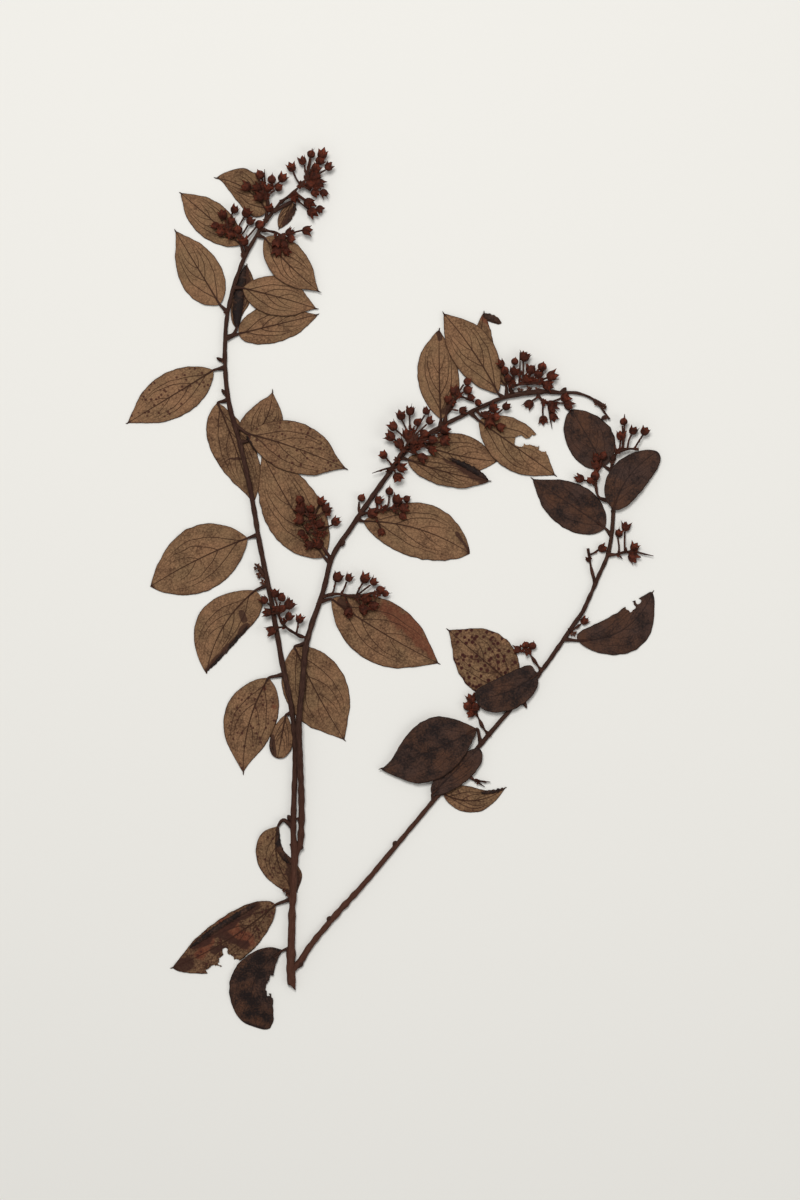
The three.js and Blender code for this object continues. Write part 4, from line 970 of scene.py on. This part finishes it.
# The racemes
# Sprays of small dry fruits in the leaf axils. Each fruit is a capsule in a cup of five pointed
# sepals, on a thin pedicel with two small scales, along a thin ridged axis.

FRUIT_LENGTH = 3.6
FRUIT_SQUASH = 0.74
FRUIT_SIZES = (0.84, 1.14)
FRUIT_SWAY = (-0.4, 0.5)
FRUIT_LEAST_HEIGHT = 1.5
PEDICEL_RADIUS = 0.36
PEDICEL_FOOT = 1.2
PEDICEL_LEAN = 2.0
PEDICEL_STEP = 0.8
PEDICEL_SIDES = 6
# A spike is a pedicel that has lost its fruit.
SPIKE_POINT = 0.35
# No pedicel leaves the axis before this share of its length.
BARE_FOOT = 0.15
AXIS_RADIUS = 0.62
AXIS_FOOT_RADIUS = 0.9
AXIS_TAPER = 0.75
AXIS_STEP = 0.3
AXIS_SIDES = 9
AXIS_WRINKLE = 0.2
SEPALS = 5
# Between which limits a fruit opens, its sepals reach out and up, and it turns and tilts.
OPENED = (0.3, 1.0)
SEPAL_REACH = (0.5, 1.5)
SEPAL_RISE = (0.6, 1.5)
FRUIT_TURN = (-0.35, 0.35)
FRUIT_TILT = (-0.1, 0.7)
# How far the middle of a pedicel, the scales on it and a style stray.
PEDICEL_STRAY = 0.3
SCALE_STRAY = 0.3
STYLE_STRAY = 0.25
SHARE_CLOSED = 0.35
SHARE_STYLED = 0.45
STYLE_LENGTHS = (2.2, 3.4)
STYLE_RADII = (0.24, 0.06)
STYLE_STEP = 0.6
STYLE_SIDES = 5
# Lengths of the scale at a pedicel's foot and of the one halfway up.
SCALE_LENGTHS = ((1.4, 2.2), (0.9, 1.5))
# Radius and height of the rings of an open cup, and how much further out and up they go at a
# sepal, and the same for a closed capsule.
CUP_RINGS = np.array([
    (0.38, -1.80, 0.0, 0.0), (1.20, -1.50, 0.0, 0.0), (1.70, -0.70, 0.05, 0.0),
    (1.80, 0.10, 0.15, 0.1), (1.60, 0.65, 0.45, 0.5), (1.65, 0.95, 0.90, 1.1),
    (1.35, 0.70, 0.35, 0.4), (1.00, 0.60, 0.05, 0.0), (0.50, 1.05, 0.0, 0.0)])
BALL_RINGS = np.array([
    (0.38, -1.60, 0.0, 0.0), (1.10, -1.35, 0.0, 0.0), (1.55, -0.65, 0.04, 0.0),
    (1.65, 0.00, 0.08, 0.0), (1.50, 0.60, 0.12, 0.0), (1.10, 1.10, 0.15, 0.0),
    (0.60, 1.45, 0.10, 0.0), (0.28, 1.75, 0.0, 0.0), (0.10, 2.20, 0.0, 0.0)])

# Each raceme grows `at` a place of its stem. Its axis runs on through a few places at one
# level. `fruits` and `spikes` are the ends of its pedicels, with and without a fruit, and
# `dense` holds tufts of scales with their reach.
MAIN_RACEMES = [
    dict(at=(-44, 152), axis=[(-39.6, 155.1), (-35.6, 159.1), (-32.5, 161.8)], level=3.4,
         fruits=[(-39.6, 165.4), (-35.4, 168.1), (-31.9, 170.7), (-27.6, 170.5), (-28.5, 168.3),
                 (-25, 165.7), (-30.1, 165), (-30.5, 162.2), (-32.5, 158.7), (-28.5, 159.4),
                 (-30.5, 155.5), (-27, 155.5), (-32.9, 151.6), (-31.7, 148), (-28.5, 149.2),
                 (-38.4, 153.4)],
         spikes=[(-31.5, 173)],
         dense=[(-39, 154, 1.8), (-36, 158.6, 1.6), (-31.5, 160.5, 1.8), (-30, 157.6, 1.6)]),
    dict(at=(-47.2, 147.8), axis=[(-48.6, 149.5), (-49.2, 153), (-50.2, 157)], level=3.4,
         fruits=[(-52, 162.6), (-47.4, 160.8), (-43.3, 161.3), (-44.7, 157.6), (-57.4, 158.1),
                 (-53, 157.6), (-52.4, 154), (-48.3, 149.5), (-49, 157)],
         spikes=[(-50.2, 164.8), (-54, 163.6)],
         dense=[(-50.6, 158.6, 1.8), (-49.4, 154, 1.5), (-47.6, 158, 1.5)]),
    dict(at=(-57.2, 133.8), axis=[(-58.8, 136), (-61.5, 139.5), (-65.5, 143)], level=3.2,
         fruits=[(-57.4, 147.6), (-55.8, 144.5), (-52.2, 143.1), (-62.1, 149), (-66.6, 146.8),
                 (-69.8, 142.8), (-63.2, 144.4), (-67.4, 140.2), (-63.8, 139.4), (-60.6, 141),
                 (-58.2, 136.4)],
         dense=[(-68, 142.4, 1.8), (-65, 142, 1.9), (-62, 140, 1.7), (-59.6, 137, 1.4)]),
    dict(at=(-51.8, 141.4), axis=[(-49, 140.6), (-45.5, 139.6), (-42, 138)], level=4.2,
         fruits=[(-33.7, 140.6), (-40.4, 139.8), (-39.8, 137.4), (-45.6, 135.6), (-42.4, 135.2),
                 (-45.4, 132.6), (-41.6, 132.6)],
         dense=[(-44, 138, 1.6), (-42.8, 134.4, 1.5)]),
]
MIDDLE_RACEMES = [
    dict(at=(-33.8, -19.6), axis=[(-36.4, -18.4), (-42.9, -13.8), (-45.5, -8)], level=4.5,
         fruits=[(-50.4, -4.4), (-46.2, -1.8), (-43.4, -3.4), (-40.5, -6.1), (-49, -9.2), (-43.2, -7.6),
                 (-40.5, -10.8), (-36.4, -12), (-47.6, -16.4)],
         dense=[(-44.4, -2.4, 1.7), (-45.4, -8, 1.7), (-43, -12.4, 1.5)]),
    dict(at=(-24.4, 12), axis=[(-26.5, 15), (-30, 21), (-32.5, 29)], level=2.8,
         fruits=[(-28, 34.2), (-26, 31.6), (-36.4, 35), (-36.2, 31.2), (-32.2, 31.4), (-36.6, 27.2),
                 (-28.6, 25.6), (-35.8, 22), (-22.4, 26.4), (-32.6, 17.2), (-29, 17.8)],
         dense=[(-31.6, 28.4, 1.8), (-30, 22, 1.7), (-33.4, 24.6, 1.7), (-36.4, 33, 1.8),
                (-36.2, 29, 1.8), (-30.4, 25.4, 2), (-27.6, 21.6, 1.8), (-34.4, 20.6, 1.8),
                (-28.6, 18.4, 1.6), (-25.4, 30, 1.6)]),
    dict(at=(-27.8, -3.6), axis=[(-22.7, -1.9), (-17.5, -2.6), (-12.6, -3.1)], level=3.1,
         fruits=[(-21.5, 4.6), (-17.1, 4.3), (-10.9, 4), (-7.3, 2.8), (-4.8, -0.4), (-2.8, -1.8),
                 (-10.4, -3.6), (-7.4, -6.4), (-11.2, -8), (-17.4, -8.8)],
         dense=[(-10.4, -4, 2), (-8.2, -7, 1.8), (-12, -7, 1.6), (-17, -10, 1.8), (-6.6, -2.4, 1.6)]),
    dict(at=(-13.4, 29), axis=[(-10.4, 29.8), (-5, 31), (1.5, 31.6)], level=2.8,
         fruits=[(-5.4, 34.8), (-1.2, 38.4), (1.8, 35), (5.6, 35.4), (4.6, 31.8), (4, 28.6),
                 (-4.4, 22.4), (-8, 29.8)],
         dense=[(-4, 31.4, 1.7), (1, 32, 1.7), (-8.4, 30.4, 1.4)]),
    dict(at=(-1.6, 46.2), axis=[(1, 49.6), (5, 55.5), (8, 60)], level=4.2,
         fruits=[(-3.5, 52.5), (-0.8, 59.8), (0.2, 63.8), (3.4, 68), (6.9, 69.8), (13.3, 69.8),
                 (14.6, 66), (9.8, 65.4), (2.6, 57), (15.8, 58.6), (20.4, 58), (20.4, 62.6),
                 (11.6, 51.6), (15.4, 54.6), (3.4, 47.6), (2, 44), (8.4, 55.4), (6, 60.6), (12.4, 61)],
         spikes=[(-8, 45.4)],
         dense=[(4, 55, 1.9), (8, 58.4, 2), (10.6, 56.4, 1.8), (7.4, 62, 1.8), (12, 58.6, 1.7),
                (2, 50.6, 1.6)]),
    dict(at=(20.2, 64.6), axis=[(21, 68), (23, 73), (26.5, 77.5)], level=2.8,
         fruits=[(29.4, 81.4), (29.6, 78.2), (30.8, 75.2), (33.6, 73.2), (27.6, 70.1), (24.4, 78),
                 (22, 74.6)],
         dense=[(26, 76, 1.7), (23.4, 73.4, 1.6)]),
    dict(at=(33, 71), axis=[(33.8, 69), (37, 67.6), (40, 66)], level=3.4,
         fruits=[(39.6, 71), (44.6, 71.6), (36.6, 68.4), (40.6, 67.6), (42.4, 63.6), (38, 65.4)],
         dense=[(38.6, 67.4, 1.7), (35.4, 68.6, 1.4)]),
    dict(at=(47.8, 76.4), axis=[(46.2, 78.8), (51, 80.4), (58, 80.6)], level=3.6,
         fruits=[(42.6, 88.3), (44.1, 85.7), (48, 89.3), (47.7, 85.4), (51.9, 91.1), (54.2, 86.2),
                 (58.8, 87.2), (57.3, 84.4), (62.4, 83.6), (45.4, 82.6), (52.6, 82.4), (60.9, 79.9)],
         spikes=[(50, 93)],
         dense=[(47, 80.6, 1.8), (50.4, 81.6, 1.9), (54.6, 82, 1.9), (58, 81.4, 1.7), (49.6, 84.6, 1.5)]),
    dict(at=(57, 77.4), axis=[(57.6, 75.6), (59.6, 73.8), (63, 73)], level=1.6,
         fruits=[(53.7, 72.6), (59.3, 66.7), (63.2, 67.7), (62.9, 71.3), (67.8, 75.2), (69.3, 72.3)],
         spikes=[(62.7, 63.1)], dense=[(59.6, 73.6, 1.6), (63.4, 72.6, 1.4)]),
]
RIGHT_RACEMES = [
    dict(at=(86.4, 51), axis=[(88.6, 53.9), (92, 54.9), (96.7, 54.8)], level=3.6,
         fruits=[(90.7, 65.7), (89.8, 60.1), (94.5, 62.2), (99, 61.9)],
         spikes=[(91.2, 68.6), (87.2, 57.7)], dense=[(88.4, 54, 1.3)]),
    dict(at=(84.8, 34), axis=[(81.2, 36.2), (79.8, 42), (80.4, 47)], level=2.4,
         fruits=[(79.6, 44.6), (73.6, 43.4), (77.6, 42.6), (80.2, 51.4), (82.8, 52.4), (79.8, 48.6)],
         dense=[(79.6, 43, 1.6), (80.6, 47.6, 1.6)]),
    dict(at=(84.6, 13.6), axis=[(87.6, 13.6), (92, 14.6), (96.4, 15.2)], level=1.8,
         fruits=[(91.8, 24.4), (89, 21.8), (95, 16.4), (94.6, 12.6)],
         spikes=[(102.6, 13), (90.4, 11.8)], dense=[(95, 14.6, 1.5)]),
]
# Short remains of racemes, which stand for parts of the stems' own nodes.
REMAINS = {
    "middle_bough_lower": [
        dict(at=(-12.8, 30.4), axis=[(-13.4, 31.8), (-13, 33)], level=2.2, fruits=[(-12.2, 35.8)])],
    "right_bough_lower": [
        dict(at=(58.4, -32.4), axis=[(56.8, -29.6), (54.6, -26.6), (52.8, -24)], level=2.3,
             fruits=[(52.3, -22), (49, -23.8), (55, -22.3)], dense=[(53, -24.4, 1.8), (50.8, -23.4, 1.5)]),
        dict(at=(37.8, -57.4), axis=[(36, -55), (33.6, -50.4), (31.6, -46)], level=1.8,
             fruits=[(31, -43), (29.6, -46), (32.6, -46.4), (31, -49)], dense=[(31.2, -46.6, 1.7)]),
        dict(at=(26.6, -71), axis=[(30.5, -73.9), (33.8, -76.1)], level=1.4, fruits=[],
             spikes=[(38.5, -75.9), (36.3, -77.8)], dense=[(30, -73.4, 0.9), (33.4, -75.8, 1)]),
        dict(at=(69.6, -16.6), axis=[(71.6, -15.6), (73.4, -14.4)], level=1.5, fruits=[(75.4, -12.6)])],
    "right_bough_upper": [
        dict(at=(79.6, 2.6), axis=[(78.4, 7), (77.6, 11), (76.8, 16)], level=1.5,
             fruits=[(82.4, 16)], spikes=[(76.2, 12.4)], dense=[(77.4, 12, 1.1)])],
}


def cup_of(centre, way, draw):
    """A fruit: rings turned about its axis, whose radius and height grow towards each sepal by a
    triangle wave, larger or smaller, closed or more or less open, and flattened by the press."""
    size = draw.uniform(*FRUIT_SIZES)
    opened = draw.uniform(*OPENED)
    form = BALL_RINGS if draw.uniform() < SHARE_CLOSED else CUP_RINGS
    turns = (np.arange(2 * SEPALS) + draw.uniform(0, 1)) * math.pi / SEPALS
    at_sepal = np.arange(2 * SEPALS) % 2
    radius = form[:, 0:1] + form[:, 2:3] * at_sepal * opened * draw.uniform(*SEPAL_REACH, 2 * SEPALS)
    height = form[:, 1:2] + form[:, 3:4] * at_sepal * draw.uniform(*SEPAL_RISE, 2 * SEPALS)
    across = unit(np.cross(way, UP) + 1e-6)
    above = np.cross(across, way)
    side = across * (np.cos(turns) * radius)[..., None]
    rise = above * (np.sin(turns) * radius)[..., None] * FRUIT_SQUASH
    rings = centre + (side + rise + way * height[..., None]) * size
    rings[..., 2] = np.maximum(rings[..., 2], LEAST_HEIGHT)
    share = (np.arange(len(form)) / len(form))[:, None]
    return sleeve(rings, 0, place=columns(share, at_sepal, draw.uniform()))


def raceme_of(raceme, path, seed):
    """A raceme: its axis, and for each fruit a pedicel that leaves the axis a little before the
    point nearest to the fruit, the scales on it, the cup at its end and, on some, a style. A spike
    has only its pedicel and scales."""
    draw = np.random.default_rng(seed)
    foot = path[nearest(path, *raceme["at"])][:3]
    rows = [(*foot, AXIS_FOOT_RADIUS)]
    rows += [(x, y, raceme["level"], AXIS_RADIUS) for x, y in raceme["axis"]]
    axis = evenly(curve_through(rows), AXIS_STEP)
    axis[:, 3] *= np.linspace(1.0, AXIS_TAPER, len(axis))
    parts = [tube(axis, AXIS_SIDES, seed, AXIS_WRINKLE, finish=1)]
    for x, y, reach in raceme.get("dense", []):
        parts += tuft_of(np.array([x, y, raceme["level"]]), reach, draw)
    length = lengths_along(axis)
    ends = [(spot, True) for spot in raceme["fruits"]]
    ends += [(spot, False) for spot in raceme.get("spikes", [])]
    for (x, y), fruited in ends:
        at = max(length[nearest(axis, x, y)] - PEDICEL_LEAN, BARE_FOOT * length[-1])
        root = axis[int(np.searchsorted(length, at))][:3]
        level = max(raceme["level"] + draw.uniform(*FRUIT_SWAY), FRUIT_LEAST_HEIGHT)
        centre = np.array([x, y, level])
        way = unit(centre - root)
        turned = unit(way + np.array([*draw.uniform(*FRUIT_TURN, 2), draw.uniform(*FRUIT_TILT)]))
        end = centre - turned * FRUIT_LENGTH / 2 if fruited else centre
        stray = [*draw.uniform(-PEDICEL_STRAY, PEDICEL_STRAY, 2), draw.uniform(0, PEDICEL_STRAY)]
        middle = (root + end) / 2 + np.array(stray)
        sizes = (PEDICEL_FOOT, 1.0, 1.0 if fruited else SPIKE_POINT)
        rows = [(*spot, PEDICEL_RADIUS * size) for spot, size in zip((root, middle, end), sizes)]
        parts.append(limb(rows, PEDICEL_STEP, PEDICEL_SIDES, finish=1))
        for spot, lengths in zip((root, middle), SCALE_LENGTHS):
            off = unit(way + draw.uniform(-SCALE_STRAY, SCALE_STRAY, 3))
            parts.append(scale_of(spot, off, draw.uniform(*lengths), draw))
        if fruited:
            parts.append(cup_of(centre, turned, draw))
        if fruited and draw.uniform() < SHARE_STYLED:
            stray = draw.uniform(-STYLE_STRAY, STYLE_STRAY, 3)
            tip = centre + unit(turned + stray) * draw.uniform(*STYLE_LENGTHS)
            rows = [(*spot, radius) for spot, radius in zip((centre, tip), STYLE_RADII)]
            parts.append(limb(rows, STYLE_STEP, STYLE_SIDES, finish=1))
    return parts


fruit_skin, tree, shader = finish_of("dry fruit", 0.6)
share, sepal, chance, _ = field(tree, "place")
patches, grain = dry(tree, 700.0, 3000.0)
colour = tint(tree, patches, linear(48, 23, 16), linear(98, 48, 33))
lit = times(tree, ramp(tree, share, 0.35, 0.6), sepal)
colour = tint(tree, times(tree, lit, 0.7), colour, linear(142, 66, 43))
colour = tint(tree, times(tree, chance, 0.5), colour, linear(50, 27, 20))
set_finish(tree, shader, colour, plus(tree, patches, grain), 0.00015)

raceme_bark, tree, shader = finish_of("raceme axis", 0.75)
patches, grain = dry(tree, 300.0, 3000.0)
colour = tint(tree, patches, linear(44, 26, 19), linear(74, 45, 35))
set_finish(tree, shader, colour, grain, 0.0001)

raceme_groups = {"main": MAIN_RACEMES, "middle": MIDDLE_RACEMES, "right": RIGHT_RACEMES}
for group_number, (group, racemes) in enumerate(raceme_groups.items()):
    for number, raceme in enumerate(racemes, start=1):
        node = f"{group}_raceme_{number:02d}"
        seed = 5000 + 100 * group_number + number
        parts = raceme_of(raceme, bearing_path(group, *raceme["at"]), seed)
        make_piece("dried_" + node, parts, [fruit_skin, raceme_bark], node)
for number, (stem, racemes) in enumerate(REMAINS.items()):
    parts = []
    for raceme in racemes:
        parts += raceme_of(raceme, stem_paths[stem], 6000 + 10 * number)
    make_piece("remains_on_" + stem, parts, [fruit_skin, raceme_bark], stem)

# The floor, the light and the camera
# A plain pale floor under soft light from all sides. The camera looks straight down, as the
# photograph does.

FLOOR_SIZE = 3.0
CAMERA_HEIGHT = 1.2
VIEW_HEIGHT = 0.47244
SENSOR = 36.0
VIEW_CENTRE = (0.00295, -0.00433)
WORLD_LIGHT = 0.32
# Names, places and sizes in metres, and powers in watts.
LAMPS = (("key light", -0.15, 0.5, 1.4, 0.5, 14.4), ("fill light", 0.9, -0.3, 1.0, 0.8, 2.5))

signs = ((-1, -1), (1, -1), (1, 1), (-1, 1))
corners = [(x * FLOOR_SIZE / 2, y * FLOOR_SIZE / 2, 0) for x, y in signs]
floor_mesh = bpy.data.meshes.new("floor")
floor_mesh.from_pydata(corners, [], [(0, 1, 2, 3)])
floor_finish, tree, shader = finish_of("pale floor", 0.9)
shader.inputs["Base Color"].default_value = linear(236, 234, 228)
floor_mesh.materials.append(floor_finish)
floor = bpy.data.objects.new("floor", floor_mesh)
bpy.context.scene.collection.objects.link(floor)

world = bpy.data.worlds.new("studio")
world.use_nodes = True
background = world.node_tree.nodes["Background"]
background.inputs["Color"].default_value = (1, 1, 1, 1)
background.inputs["Strength"].default_value = WORLD_LIGHT
bpy.context.scene.world = world

for name, x, y, height, size, power in LAMPS:
    lamp = bpy.data.lights.new(name, "AREA")
    lamp.shape = "SQUARE"
    lamp.size = size
    lamp.energy = power
    light = bpy.data.objects.new(name, lamp)
    light.location = (x, y, height)
    light.rotation_euler = (math.atan2(-y, height), math.atan2(x, math.hypot(height, y)), 0)
    bpy.context.scene.collection.objects.link(light)

lens = bpy.data.cameras.new("camera")
lens.sensor_width = SENSOR
lens.lens = SENSOR * CAMERA_HEIGHT / VIEW_HEIGHT
camera = bpy.data.objects.new("camera", lens)
camera.location = (*VIEW_CENTRE, CAMERA_HEIGHT)
bpy.context.scene.collection.objects.link(camera)
bpy.context.scene.camera = camera
bpy.context.scene.view_settings.view_transform = "Standard"
